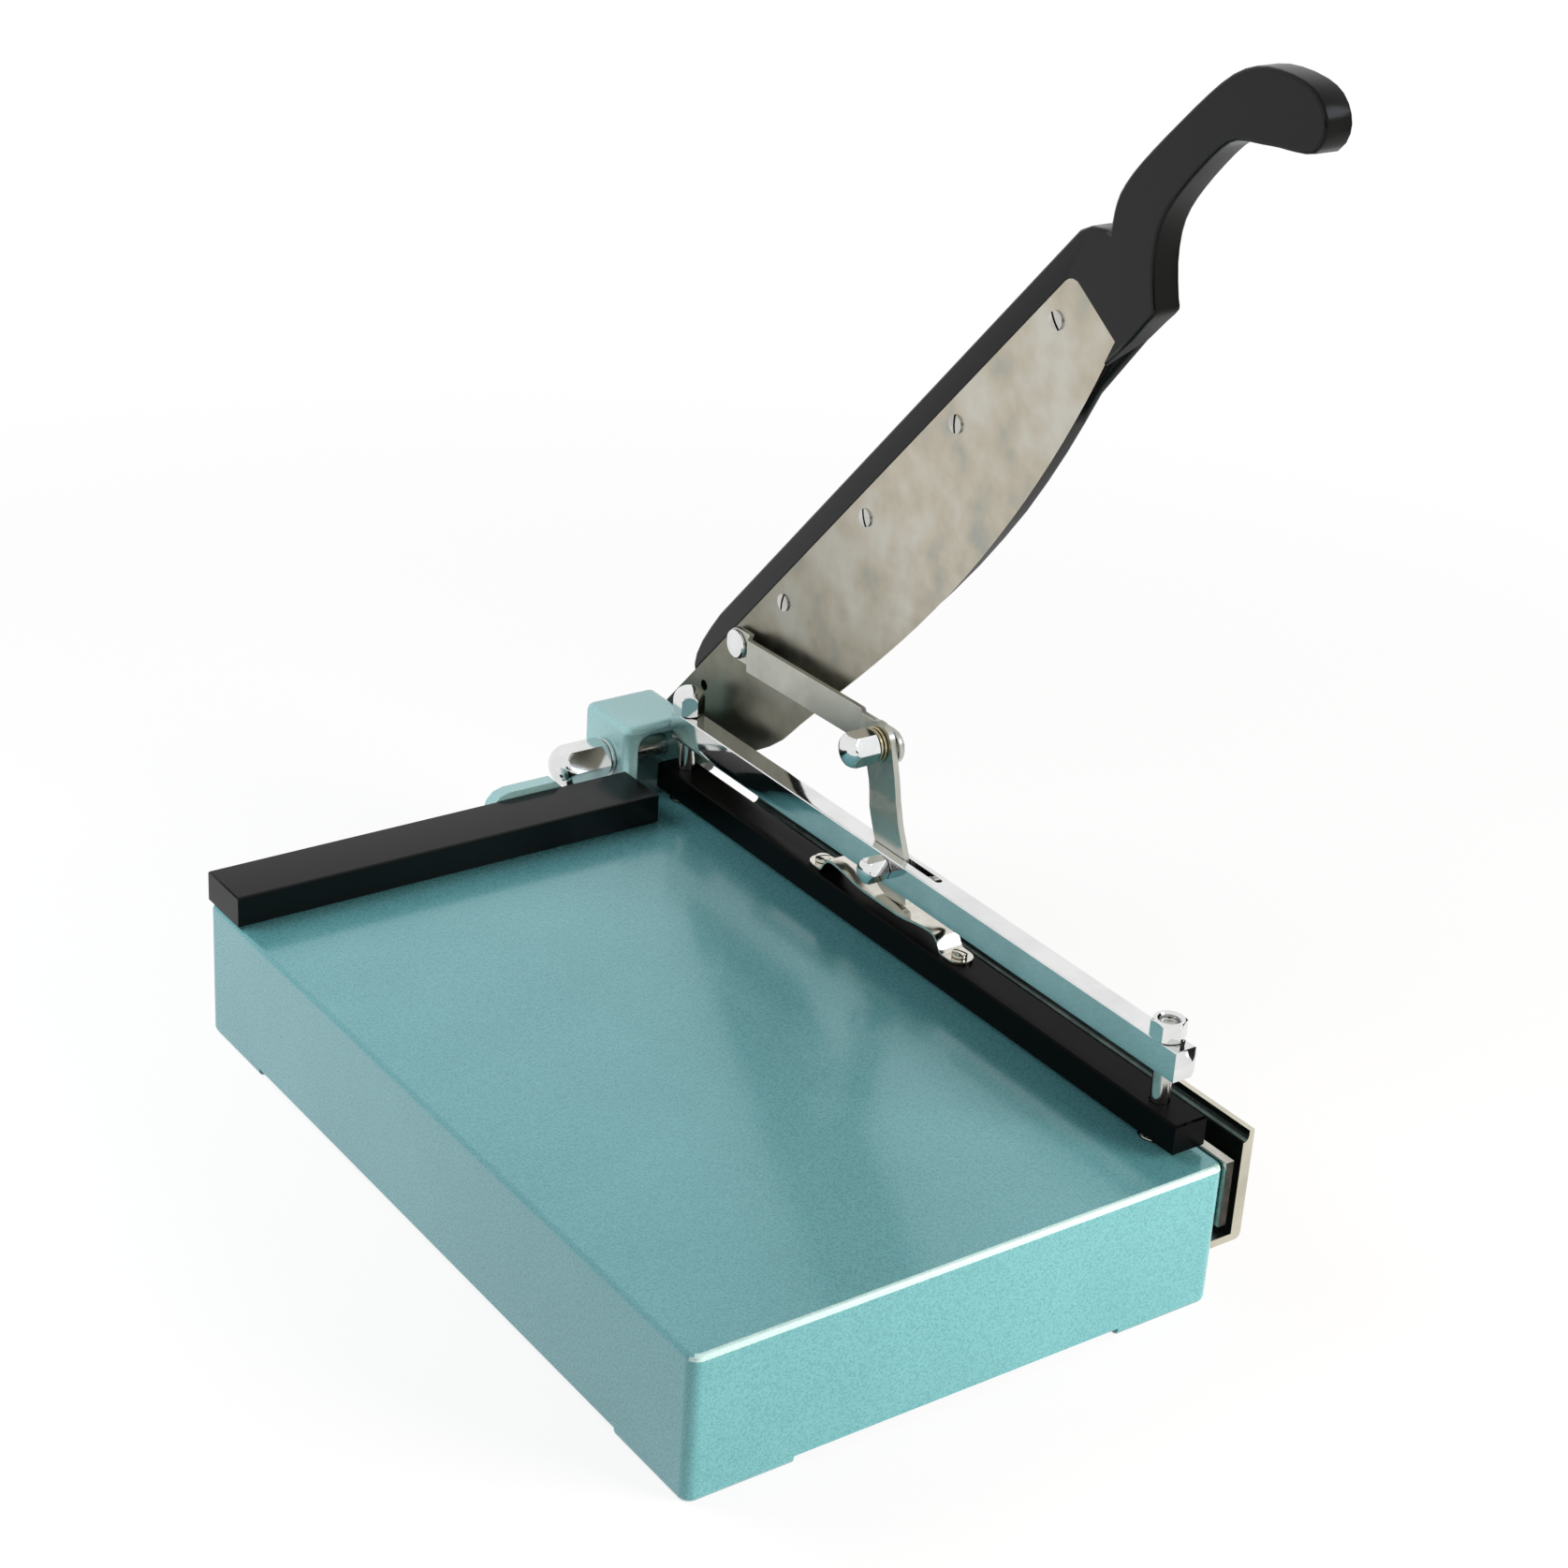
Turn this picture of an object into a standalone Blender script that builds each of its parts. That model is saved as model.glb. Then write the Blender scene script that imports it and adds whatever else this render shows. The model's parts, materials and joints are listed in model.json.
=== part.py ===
# Sample strip cutter: cast base, bed knife, hinged blade on a cast lever, cam-driven clamp bar.
# Lengths are metres and Z is up. The user stands on the -Y side, and the blade is on the +X side.
# The origin is under the middle of the whole machine, on the surface that the base stands on.
# The lever is drawn raised, which is its rest position.

import math

import bmesh
import bpy
import numpy as np
from mathutils import Matrix, Vector

# Fits shared by all pieces
SEAT_GAP = 0.0003
RUNNING_GAP = 0.0003
OVERRUN = 0.004

# Base casting
BASE_WIDTH = 0.250
BASE_DEPTH = 0.385
BASE_HEIGHT = 0.0637
BASE_CORNER_RADIUS = 0.005
BASE_TOP_RADIUS = 0.0022
BASE_WALL = 0.012
BASE_RIGHT_WALL = 0.021
BASE_TOP_WALL = 0.013
BASE_RIB = 0.008
BASE_POCKET_RADIUS = 0.006
FOOT_HEIGHT = 0.0035
FOOT_LENGTH = 0.0475

# Pivot of the lever, behind and above the base's back top edge
PIVOT_SETBACK = 0.017
PIVOT_RISE = 0.0153
SHAFT_RADIUS = 0.005
RAISED_ANGLE = math.radians(47.3)

# Bed knife on the base's right side
KNIFE_THICKNESS = 0.0048
KNIFE_HEIGHT = 0.0297
KNIFE_END_INSET = 0.0008
KNIFE_REAR_INSET = 0.009
KNIFE_CHAMFER = 0.0004
KNIFE_SCREW_DROP = 0.0150
KNIFE_SCREW_PITCH = 0.070
KNIFE_SCREW_COUNT = 5
KNIFE_SCREW_RADIUS = 0.0025
KNIFE_SCREW_HEAD_RADIUS = 0.0046
KNIFE_SCREW_HEAD_HEIGHT = 0.0024
KNIFE_SCREW_GRIP = 0.012

# Fence along the back of the table
FENCE_CLAMP_GAP = 0.0179
FENCE_DEPTH = 0.029
FENCE_HEIGHT = 0.0146
FENCE_CHAMFER = 0.0007
FENCE_SCREW_END = 0.0322
FENCE_SCREW_COUNT = 3
FENCE_SCREW_INSET = 0.0095
FENCE_SCREW_RADIUS = 0.0025
FENCE_SCREW_HEAD_RADIUS = 0.0043
FENCE_SCREW_HEAD_HEIGHT = 0.005
FENCE_SCREW_GRIP = 0.009

# Blade, measured in its own frame: along its back from the pivot, and down towards the edge
BLADE_GAP = 0.0006
BLADE_THICKNESS = 0.0030
BLADE_LENGTH = 0.3980
BLADE_HEEL_RADIUS = 0.0200
BLADE_HEEL_ANGLE = math.radians(62.0)
BLADE_BELLY = 0.0431
BLADE_TIP_DEPTH = 0.0136
BLADE_TIP_LEAN = 0.0040
BLADE_TIP_RADIUS = 0.0065
BLADE_GRIND = 0.0030
BLADE_GRIND_DEPTH = 0.0022
BLADE_SCREW_LINE = 0.0108
BLADE_SCREW_START = 0.1270
BLADE_SCREW_END = 0.0247
BLADE_SCREW_COUNT = 4
BLADE_SCREW_RADIUS = 0.0022
BLADE_SCREW_HEAD_RADIUS = 0.0048
BLADE_SCREW_HEAD_HEIGHT = 0.0012
BLADE_SPARE_HOLE_PLACE = 0.0390
BLADE_SPARE_HOLE_RADIUS = 0.0027
# Share of the blade's length, and share of the belly's depth below the tip
BELLY_SHARES = (
    (0.925, 0.31), (0.842, 0.58), (0.747, 0.80), (0.640, 0.95), (0.530, 1.00),
    (0.430, 0.97), (0.330, 0.90), (0.250, 0.85), (0.175, 0.76),
)

# Lever casting behind the blade, with its grip
LEVER_PROUD = 0.0003
LEVER_THICKNESS = 0.0110
LEVER_BAND = 0.0112
LEVER_EDGE_INSET = 0.0058
LEVER_HUB_INSET = 0.0006
LEVER_ROUNDING = 0.0016
LEVER_SHOULDER_PLACE = 0.0755
LEVER_SHOULDER_FOOT = 0.0395
GRIP_THICKNESS = 0.0135
GRIP_START = 0.0070
GRIP_BLEND = 0.0180
GRIP_LENGTH = 0.1450
GRIP_DEPTH = 0.0495
# Outline of the grip: share of its length past the blade's tip, share of its depth below the band
GRIP_OUTLINE_SHARES = (
    (0.055, 1.000), (0.130, 0.985), (0.180, 0.975), (0.197, 0.900), (0.250, 0.690),
    (0.312, 0.530), (0.376, 0.447), (0.455, 0.410), (0.545, 0.395), (0.640, 0.400),
    (0.700, 0.450), (0.765, 0.610), (0.810, 0.725), (0.850, 0.840), (0.905, 0.960),
    (0.960, 0.930), (0.992, 0.820), (1.000, 0.660), (0.978, 0.490), (0.925, 0.290),
    (0.862, 0.135), (0.785, 0.045), (0.690, 0.010), (0.560, -0.005), (0.430, -0.010),
    (0.330, 0.000), (0.255, 0.040), (0.205, 0.115), (0.160, 0.215),
)
NOTCH_SHARES = ((0.150, 0.170), (0.105, 0.055), (0.060, 0.005))

# Washers and nuts on the pivot shaft
PIVOT_WASHER_RADIUS = 0.0135
PIVOT_OUTER_WASHER = 0.0020
PIVOT_NUT_FLATS = 0.0170
PIVOT_NUT_HEIGHT = 0.0085
PIVOT_CAP_FLATS = 0.0175
PIVOT_CAP_HEX = 0.0195
PIVOT_CAP_DOME = 0.0085
PIVOT_CAP_BORE = 0.0215
PIVOT_CAP_WASHER = 0.0018
PIVOT_CAP_WASHER_RADIUS = 0.0092
SHAFT_END_PROUD = 0.0012

# Hinge bracket bolted on the base's back
BRACKET_WIDTH = 0.0382
BRACKET_OVERHANG = 0.0025
BRACKET_DEPTH = 0.0377
BRACKET_HEIGHT = 0.0993
BRACKET_FOOT = 0.0080
BRACKET_ROUNDING = 0.0036
BRACKET_EAR_LENGTH = 0.0728
BRACKET_PLATE_THICKNESS = 0.0070
BRACKET_PLATE_TOP = 0.0815
BRACKET_PLATE_CORNER = 0.0100
BRACKET_SCOOP_LENGTH = 0.0333
BRACKET_SCOOP_DEPTH = 0.0190
ARCH_CHEEK = 0.0067
ARCH_HEADROOM = 0.0050
ARCH_DEPTH = 0.0300
ARCH_RADIUS = 0.0060
BRACKET_BOLT_RADIUS = 0.0040
BRACKET_BOLT_HEAD_RADIUS = 0.0065
BRACKET_BOLT_HEAD_HEIGHT = 0.0080
BRACKET_BOLT_GRIP = 0.0150
BRACKET_BOLT_SOCKET_FLATS = 0.0060
BRACKET_BOLT_SOCKET_DEPTH = 0.0040
BRACKET_BOLT_LOW = 0.0210
BRACKET_BOLT_HIGH = 0.0500
BRACKET_BOLT_INSET = 0.0125
BRACKET_BOLT_SETBACK = 0.0173

# Clamp bar along the cutting edge, the two guide posts and the beam that they carry
CLAMP_WIDTH = 0.0163
CLAMP_EDGE_INSET = 0.0014
CLAMP_OPENING = 0.0023
CLAMP_HEIGHT = 0.0136
CLAMP_FRONT_INSET = 0.0126
CLAMP_REAR_INSET = 0.0005
CLAMP_CHAMFER = 0.0008
CLAMP_HOLE_GAP = 0.0004
BEAM_WIDTH = 0.0106
BEAM_HEIGHT = 0.0115
BEAM_LIFT = 0.0328
BEAM_FRONT_INSET = 0.0203
BEAM_REAR_INSET = 0.0020
BEAM_CHAMFER = 0.0005
BEAM_SLOT_FRONT = 0.0325
BEAM_SLOT_REAR = 0.0135
BEAM_SLOT_CORNER_SHARE = 0.8
POST_RADIUS = 0.0040
POST_FRONT_INSET = 0.0317
POST_REAR_INSET = 0.0120
POST_ENGAGEMENT = 0.0330
POST_TOP_PROUD = 0.0062
POST_NUT_FLATS = 0.0130
POST_NUT_HEIGHT = 0.0082
POST_CAP_HEX = 0.0072
POST_CAP_DOME = 0.0062
SPRING_WELL_RADIUS = 0.0071
SPRING_WELL_DEPTH = 0.0190
SPRING_WIRE = 0.0012
SPRING_RADIUS = 0.0058
SPRING_TURNS = 6

# Leaf spring between the clamp bar and the beam
LEAF_LENGTH = 0.1120
LEAF_WIDTH = 0.0120
LEAF_THICKNESS = 0.0012
LEAF_HUMP = 0.0074
# Share of the half length from the middle, and share of the hump's height above the feet
LEAF_SHARES = (
    (0.000, 0.62), (0.220, 0.62), (0.330, 0.70), (0.450, 0.86), (0.560, 0.97),
    (0.640, 1.00), (0.690, 0.93), (0.735, 0.62), (0.765, 0.25), (0.790, 0.04), (0.820, 0.00),
)
LEAF_SCREW_INSET = 0.0060
LEAF_SCREW_RADIUS = 0.0018
LEAF_SCREW_HEAD_RADIUS = 0.0034
LEAF_SCREW_HEAD_HEIGHT = 0.0022
LEAF_SCREW_GRIP = 0.0080

# Riser: a strap that turns on a pin in the beam, its foot a cam on the leaf spring
RISER_PIN_FORWARD = 0.1910
RISER_PIN_DROP = 0.0060
RISER_PIN_RADIUS = 0.0030
RISER_THICKNESS = 0.0028
RISER_SIDE = 0.0006
RISER_LEAN = 0.0180
RISER_RISE = 0.0500
RISER_EYE_RADIUS = 0.0103
RISER_HALF_WIDTH = 0.0100
RISER_JOGGLE = 0.0012
CAM_LIFT = 0.0020
CAM_SWING = math.radians(24.1)
CAM_NOSE_ANGLE = math.radians(40.0)
CAM_HEEL_ANGLE = math.radians(-36.0)
RISER_JOGGLE_SHARES = (0.34, 0.62)
# Share of the height from pin to knee, and share of the half width from the middle line
RISER_REAR_SHARES = ((0.02, 0.95), (0.22, 1.02), (0.48, 1.09), (0.70, 1.01))
RISER_FRONT_SHARES = ((0.72, -0.93), (0.52, -0.80), (0.30, -0.90), (0.06, -1.01))
RISER_EYE_SHARE = 0.95
RISER_CAP_FLATS = 0.0100
RISER_CAP_HEX = 0.0085
RISER_CAP_DOME = 0.0034
BEAM_PIN_FORWARD = 0.0240
BEAM_PIN_RADIUS = 0.0020
BEAM_PIN_SEAT = 0.0015

# Knee, where the lift link meets the riser
KNEE_PIN_RADIUS = 0.0027
KNEE_CAP_FLATS = 0.0140
KNEE_CAP_HEX = 0.0100
KNEE_CAP_DOME = 0.0048
KNEE_WASHER_RADIUS = 0.0080
KNEE_WASHER_THICKNESS = 0.0012
KNEE_HEAD_RADIUS = 0.0050
KNEE_HEAD_HEIGHT = 0.0022

# Lift link from the blade to the knee
LINK_THICKNESS = 0.0028
LINK_HALF_WIDTH = 0.0078
LINK_OFFSET = 0.0025
LINK_JOGGLE_START = 0.0160
LINK_JOGGLE_LENGTH = 0.0050
LINK_SLOT_BACK = 0.0106
LINK_SLOT_FORWARD = 0.0072
LINK_SLOT_DRIFT = 0.0016
LINK_END_WALL = 0.0020
LINK_LIFT = 0.0048
LINK_LIFT_START = 0.0090
LINK_LIFT_LENGTH = 0.0060
LINK_BOLT_PLACE = 0.0858
LINK_BOLT_RADIUS = 0.0040
LINK_BOLT_HEAD_RADIUS = 0.0070
LINK_BOLT_HEAD_HEIGHT = 0.0016
LINK_COLLAR_RADIUS = 0.0060

# Stop rail that sets the strip's width
STRIP_WIDTH = 0.0150
RAIL_FRONT_INSET = 0.0092
RAIL_REAR_INSET = 0.0310
RAIL_TOP_ABOVE = 0.0045
RAIL_SHELF_BELOW = 0.0006
RAIL_LIP = 0.0026
RAIL_WALL = 0.0053
RAIL_BOTTOM = 0.0168
RAIL_WEB = 0.0035
RAIL_FLANGE = 0.0026
RAIL_FLANGE_HEIGHT = 0.0164
RAIL_ROUNDING = 0.0028
RAIL_SCREW_COUNT = 3
RAIL_SCREW_PITCH = 0.1200
RAIL_SCREW_RADIUS = 0.0020
RAIL_SCREW_HEAD_RADIUS = 0.0034
RAIL_SCREW_HEAD_HEIGHT = 0.0016
RAIL_SCREW_GRIP = 0.0100

# Height of each ring of a cap nut's crown, as a share of the crown's height
CROWN_SHARES = (0.18, 0.38, 0.62, 0.86)
# A small screw's flat crown as a share of its head's radius, and where its rim bends in
HEAD_CROWN_SHARE = 0.85
HEAD_RIM_SHARE = 0.65

# Facet counts
ROUND_SIDES = 24
SMALL_SIDES = 12
CURVE_STEPS = 4
HEEL_STEPS = 9
SHOULDER_STEPS = 5
SPRING_SIDES = 5
SPRING_STEPS = 9

# Planes and places that several pieces share
PIVOT_STACK = LEVER_THICKNESS + RUNNING_GAP + PIVOT_OUTER_WASHER + SEAT_GAP + PIVOT_NUT_HEIGHT
OVERALL_WIDTH = (BASE_WIDTH + SEAT_GAP + KNIFE_THICKNESS + BLADE_GAP - LEVER_PROUD + PIVOT_STACK
                 + SHAFT_END_PROUD)
OVERALL_DEPTH = BASE_DEPTH + SEAT_GAP + BRACKET_DEPTH
LEFT = -OVERALL_WIDTH / 2
RIGHT = LEFT + BASE_WIDTH
FRONT = -OVERALL_DEPTH / 2
BACK = FRONT + BASE_DEPTH
MIDDLE = (FRONT + BACK) / 2
TABLE = BASE_HEIGHT
BRACKET_RIGHT = RIGHT + BRACKET_OVERHANG
BRACKET_LEFT = BRACKET_RIGHT - BRACKET_WIDTH
EAR_LEFT = BRACKET_LEFT - BRACKET_EAR_LENGTH
SCOOP_START = BRACKET_LEFT - BRACKET_SCOOP_LENGTH
PIVOT_Y = BACK + PIVOT_SETBACK
PIVOT_Z = TABLE + PIVOT_RISE
KNIFE_FACE = RIGHT + SEAT_GAP + KNIFE_THICKNESS
BLADE_INNER = KNIFE_FACE + BLADE_GAP
BLADE_OUTER = BLADE_INNER + BLADE_THICKNESS
LEVER_INNER = BLADE_INNER - LEVER_PROUD
LEVER_OUTER = LEVER_INNER + LEVER_THICKNESS
CLAMP_X = RIGHT - CLAMP_EDGE_INSET - CLAMP_WIDTH / 2
FENCE_RIGHT = CLAMP_X - CLAMP_WIDTH / 2 - FENCE_CLAMP_GAP
CLAMP_LOW = TABLE + CLAMP_OPENING
CLAMP_TOP = CLAMP_LOW + CLAMP_HEIGHT
BEAM_LOW = TABLE + BEAM_LIFT
BEAM_TOP = BEAM_LOW + BEAM_HEIGHT
POSTS_Y = (FRONT + POST_FRONT_INSET, BACK - POST_REAR_INSET)
RISER_PIN_Y = PIVOT_Y - RISER_PIN_FORWARD
RISER_PIN_Z = BEAM_TOP - RISER_PIN_DROP
KNEE_Y = RISER_PIN_Y + RISER_LEAN
KNEE_Z = RISER_PIN_Z + RISER_RISE
RISER_INNER = CLAMP_X + RISER_SIDE - RISER_THICKNESS / 2
RISER_OUTER = RISER_INNER + RISER_THICKNESS
LINK_EYE_INNER = RISER_OUTER + RISER_JOGGLE + RUNNING_GAP
LINK_INNER = LINK_EYE_INNER + LINK_OFFSET
LINK_OUTER = LINK_INNER + LINK_LIFT + LINK_THICKNESS
LEAF_SEAT = CLAMP_TOP + SEAT_GAP
LEAF_MIDDLE = LEAF_SEAT + LEAF_HUMP * LEAF_SHARES[0][1] + LEAF_THICKNESS
CAM_HEEL = RISER_PIN_Z - LEAF_MIDDLE - RUNNING_GAP


# Materials

def material(name, red, green, blue, roughness, metallic):
    surface = bpy.data.materials.new(name)
    surface.use_nodes = True
    shader = surface.node_tree.nodes["Principled BSDF"]
    shader.inputs["Base Color"].default_value = (red, green, blue, 1.0)
    shader.inputs["Roughness"].default_value = roughness
    shader.inputs["Metallic"].default_value = metallic
    surface.diffuse_color = (red, green, blue, 1.0)
    return surface


def make_materials():
    return {
        "enamel": material("teal_enamel", 0.09, 0.27, 0.28, 0.32, 0.35),
        "black": material("black_lacquer", 0.012, 0.014, 0.014, 0.35, 0.0),
        "steel": material("ground_steel", 0.48, 0.46, 0.42, 0.34, 1.0),
        "chrome": material("polished_chrome", 0.62, 0.64, 0.66, 0.10, 1.0),
        "brass": material("yellow_brass", 0.66, 0.50, 0.24, 0.28, 1.0),
        "bolt": material("blackened_bolt", 0.05, 0.05, 0.055, 0.45, 0.8),
    }


# Outlines, all in two dimensions and running anticlockwise

def anticlockwise(points):
    outline = np.array(points, dtype=float)
    following = np.roll(outline, -1, axis=0)
    area = np.sum(outline[:, 0] * following[:, 1] - outline[:, 1] * following[:, 0])
    return outline if area > 0 else outline[::-1]


def arc(centre, radius, start, stop, steps):
    angles = np.linspace(start, stop, steps + 1)
    return [(centre[0] + radius * math.cos(a), centre[1] + radius * math.sin(a)) for a in angles]


def circle(centre, radius, sides):
    return anticlockwise(arc(centre, radius, 0, math.tau, sides)[:-1])


def rounded_box(low, high, radius, steps=CURVE_STEPS):
    quarter = math.pi / 2
    corners = (
        (high[0] - radius, high[1] - radius, 0), (low[0] + radius, high[1] - radius, quarter),
        (low[0] + radius, low[1] + radius, math.pi), (high[0] - radius, low[1] + radius, -quarter),
    )
    points = []
    for u, v, turn in corners:
        points += arc((u, v), radius, turn, turn + quarter, steps)
    return anticlockwise(points)


def slot(start, stop, radius, steps=CURVE_STEPS):
    heading = math.atan2(stop[1] - start[1], stop[0] - start[0])
    quarter = math.pi / 2
    points = arc(stop, radius, heading - quarter, heading + quarter, 2 * steps)
    points += arc(start, radius, heading + quarter, heading + 3 * quarter, 2 * steps)
    return anticlockwise(points)


def smooth_through(points, steps):
    # A curve through every point, each stretch a cubic whose end slopes come from its neighbours
    knots = np.array(points, dtype=float)
    padded = np.vstack([2 * knots[0] - knots[1], knots, 2 * knots[-1] - knots[-2]])
    curve = []
    for before, start, stop, after in zip(padded, padded[1:], padded[2:], padded[3:]):
        for share in np.linspace(0, 1, steps, endpoint=False):
            square = share * share
            cube = square * share
            point = 2 * start + (stop - before) * share
            point = point + (2 * before - 5 * start + 4 * stop - after) * square
            point = point + (3 * start - before - 3 * stop + after) * cube
            curve.append(tuple(point / 2))
    curve.append(tuple(knots[-1]))
    return curve


def inset(outline, distance):
    # Each corner moves in along the line that halves it, so that every side moves by the distance
    ahead = np.roll(outline, -1, axis=0) - outline
    ahead /= np.linalg.norm(ahead, axis=1)[:, None]
    behind = np.roll(ahead, 1, axis=0)
    inward = np.stack([-ahead[:, 1] - behind[:, 1], ahead[:, 0] + behind[:, 0]], axis=1)
    inward /= np.linalg.norm(inward, axis=1)[:, None]
    halved = np.sqrt(np.clip((1 + np.sum(ahead * behind, axis=1)) / 2, 0.25, 1))
    return outline + inward * (distance / halved)[:, None]


def blade_point(along, below):
    y = PIVOT_Y - along * math.cos(RAISED_ANGLE) - below * math.sin(RAISED_ANGLE)
    z = PIVOT_Z + along * math.sin(RAISED_ANGLE) - below * math.cos(RAISED_ANGLE)
    return y, z


# Solids

def along_x(u, v, height):
    return height, u, v


def along_y(u, v, height):
    return u, height, v


def along_z(u, v, height):
    return u, v, height


def rounded_layers(outline, low, high, radius, steps=2):
    rim = []
    for step in range(steps + 1):
        angle = math.pi / 2 * step / steps
        rim.append((radius * (1 - math.cos(angle)), inset(outline, radius * (1 - math.sin(angle)))))
    layers = [(low + rise, loop) for rise, loop in rim]
    layers += [(high - rise, loop) for rise, loop in reversed(rim)]
    return layers


def chamfered_layers(outline, low, high, chamfer):
    return rounded_layers(outline, low, high, chamfer, 1)


def straight_layers(outline, low, high):
    return [(low, outline), (high, outline)]


def add_layers(mesh, layers, place, holes=()):
    def ring(outline, height):
        return [mesh.verts.new(place(u, v, height)) for u, v in outline]

    def wall(lower, upper):
        for i, (a, b) in enumerate(zip(lower, upper)):
            following = (i + 1) % len(lower)
            mesh.faces.new((a, lower[following], upper[following], b))

    rings = [ring(outline, height) for height, outline in layers]
    for lower, upper in zip(rings, rings[1:]):
        wall(lower, upper)
    ends = [[rings[0]], [rings[-1]]]
    for hole in holes:
        lower = ring(hole, layers[0][0])
        upper = ring(hole, layers[-1][0])
        wall(lower, upper)
        ends[0].append(lower)
        ends[1].append(upper)
    for loops in ends:
        edges = []
        for loop in loops:
            for i, a in enumerate(loop):
                edges.append(mesh.edges.get((a, loop[(i + 1) % len(loop)])))
        bmesh.ops.triangle_fill(mesh, use_beauty=True, edges=edges)


def add_turned(mesh, stations, sides, base, direction):
    # Each station is a radius and a height. A third value makes the ring a hexagon: the first value
    # is then half its width across flats, and the third is the radius that its corners are turned to
    turn = Vector((0, 0, 1)).rotation_difference(Vector(direction)).to_matrix().to_4x4()
    place = Matrix.Translation(base) @ turn
    rings = []
    for station in stations:
        radius, height = station[:2]
        if radius == 0:
            rings.append([mesh.verts.new(place @ Vector((0, 0, height)))])
            continue
        ring = []
        for i in range(sides):
            angle = math.tau * i / sides
            reach = radius
            if len(station) == 3:
                sixth = math.pi / 3
                reach = min(station[2], radius / math.cos((angle + sixth / 2) % sixth - sixth / 2))
            spot = Vector((reach * math.cos(angle), reach * math.sin(angle), height))
            ring.append(mesh.verts.new(place @ spot))
        rings.append(ring)
    if len(rings[0]) > 1 and len(rings[-1]) > 1:
        rings.append(rings[0])
    for lower, upper in zip(rings, rings[1:]):
        for i in range(sides):
            corners = []
            for ring, index in ((lower, i), (lower, i + 1), (upper, i + 1), (upper, i)):
                corner = ring[index % len(ring)]
                if corner not in corners:
                    corners.append(corner)
            mesh.faces.new(corners)


def add_rod(mesh, base, direction, radius, start, stop, sides=SMALL_SIDES):
    add_turned(mesh, ((0, start), (radius, start), (radius, stop), (0, stop)), sides, base, direction)


def turned_piece(name, stations, sides, base, direction, surface, parent=None):
    mesh = bmesh.new()
    add_turned(mesh, stations, sides, base, direction)
    return finish(mesh, name, surface, parent)


def bend(mesh, axis, cuts, move):
    for cut in cuts:
        spot = [0, 0, 0]
        spot[axis] = cut
        normal = [0, 0, 0]
        normal[axis] = 1
        geometry = mesh.verts[:] + mesh.edges[:] + mesh.faces[:]
        bmesh.ops.bisect_plane(mesh, geom=geometry, plane_co=spot, plane_no=normal)
    for vertex in mesh.verts:
        vertex.co = move(vertex.co)
    mesh.normal_update()


def finish(mesh, name, surface, parent=None, smooth_angle=35):
    bmesh.ops.recalc_face_normals(mesh, faces=mesh.faces[:])
    data = bpy.data.meshes.new(name)
    mesh.to_mesh(data)
    mesh.free()
    data.materials.append(surface)
    data.shade_smooth()
    data.set_sharp_from_angle(angle=math.radians(smooth_angle))
    piece = bpy.data.objects.new(name, data)
    bpy.context.scene.collection.objects.link(piece)
    if parent is not None:
        piece.parent = parent
        piece.matrix_parent_inverse = Matrix.Translation(parent.location).inverted()
    return piece


def joint_empty(name, place, parent=None):
    empty = bpy.data.objects.new(name, None)
    empty.location = place
    bpy.context.scene.collection.objects.link(empty)
    if parent is not None:
        empty.parent = parent
        empty.matrix_parent_inverse = Matrix.Translation(parent.location).inverted()
    return empty


def cut_away(piece, mesh, name):
    bmesh.ops.recalc_face_normals(mesh, faces=mesh.faces[:])
    data = bpy.data.meshes.new(name)
    mesh.to_mesh(data)
    mesh.free()
    cutter = bpy.data.objects.new(name, data)
    bpy.context.scene.collection.objects.link(cutter)
    cutter.hide_render = True
    cutter.display_type = "WIRE"
    modifier = piece.modifiers.new(name, "BOOLEAN")
    modifier.operation = "DIFFERENCE"
    modifier.solver = "EXACT"
    modifier.object = cutter


# Rows of fasteners

def knife_screw_rows():
    middle = (KNIFE_SCREW_COUNT - 1) / 2
    return [MIDDLE + KNIFE_SCREW_PITCH * (i - middle) for i in range(KNIFE_SCREW_COUNT)]


def fence_screw_rows():
    first = LEFT + FENCE_SCREW_END
    pitch = (FENCE_RIGHT - FENCE_SCREW_END - first) / (FENCE_SCREW_COUNT - 1)
    return [first + pitch * i for i in range(FENCE_SCREW_COUNT)]


def rail_screw_rows():
    middle = (RAIL_SCREW_COUNT - 1) / 2
    return [MIDDLE + RAIL_SCREW_PITCH * (i - middle) for i in range(RAIL_SCREW_COUNT)]


def bracket_bolt_places():
    outer = EAR_LEFT + BRACKET_BOLT_INSET
    inner = BRACKET_LEFT - BRACKET_BOLT_SETBACK
    return (
        (outer, BRACKET_BOLT_LOW), (outer, BRACKET_BOLT_HIGH),
        (inner, BRACKET_BOLT_LOW), (inner, BRACKET_BOLT_HIGH),
    )


def blade_screw_places():
    stretch = BLADE_LENGTH - BLADE_SCREW_END - BLADE_SCREW_START
    pitch = stretch / (BLADE_SCREW_COUNT - 1)
    return [blade_point(BLADE_SCREW_START + pitch * i, -BLADE_SCREW_LINE) for i in range(BLADE_SCREW_COUNT)]


KNIFE_SCREW_Z = TABLE - KNIFE_SCREW_DROP
FENCE_SCREW_Y = BACK - FENCE_DEPTH + FENCE_SCREW_INSET
RAIL_SCREW_Z = RAIL_BOTTOM + RAIL_WEB + RAIL_SCREW_HEAD_RADIUS + SEAT_GAP


# Base group

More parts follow.
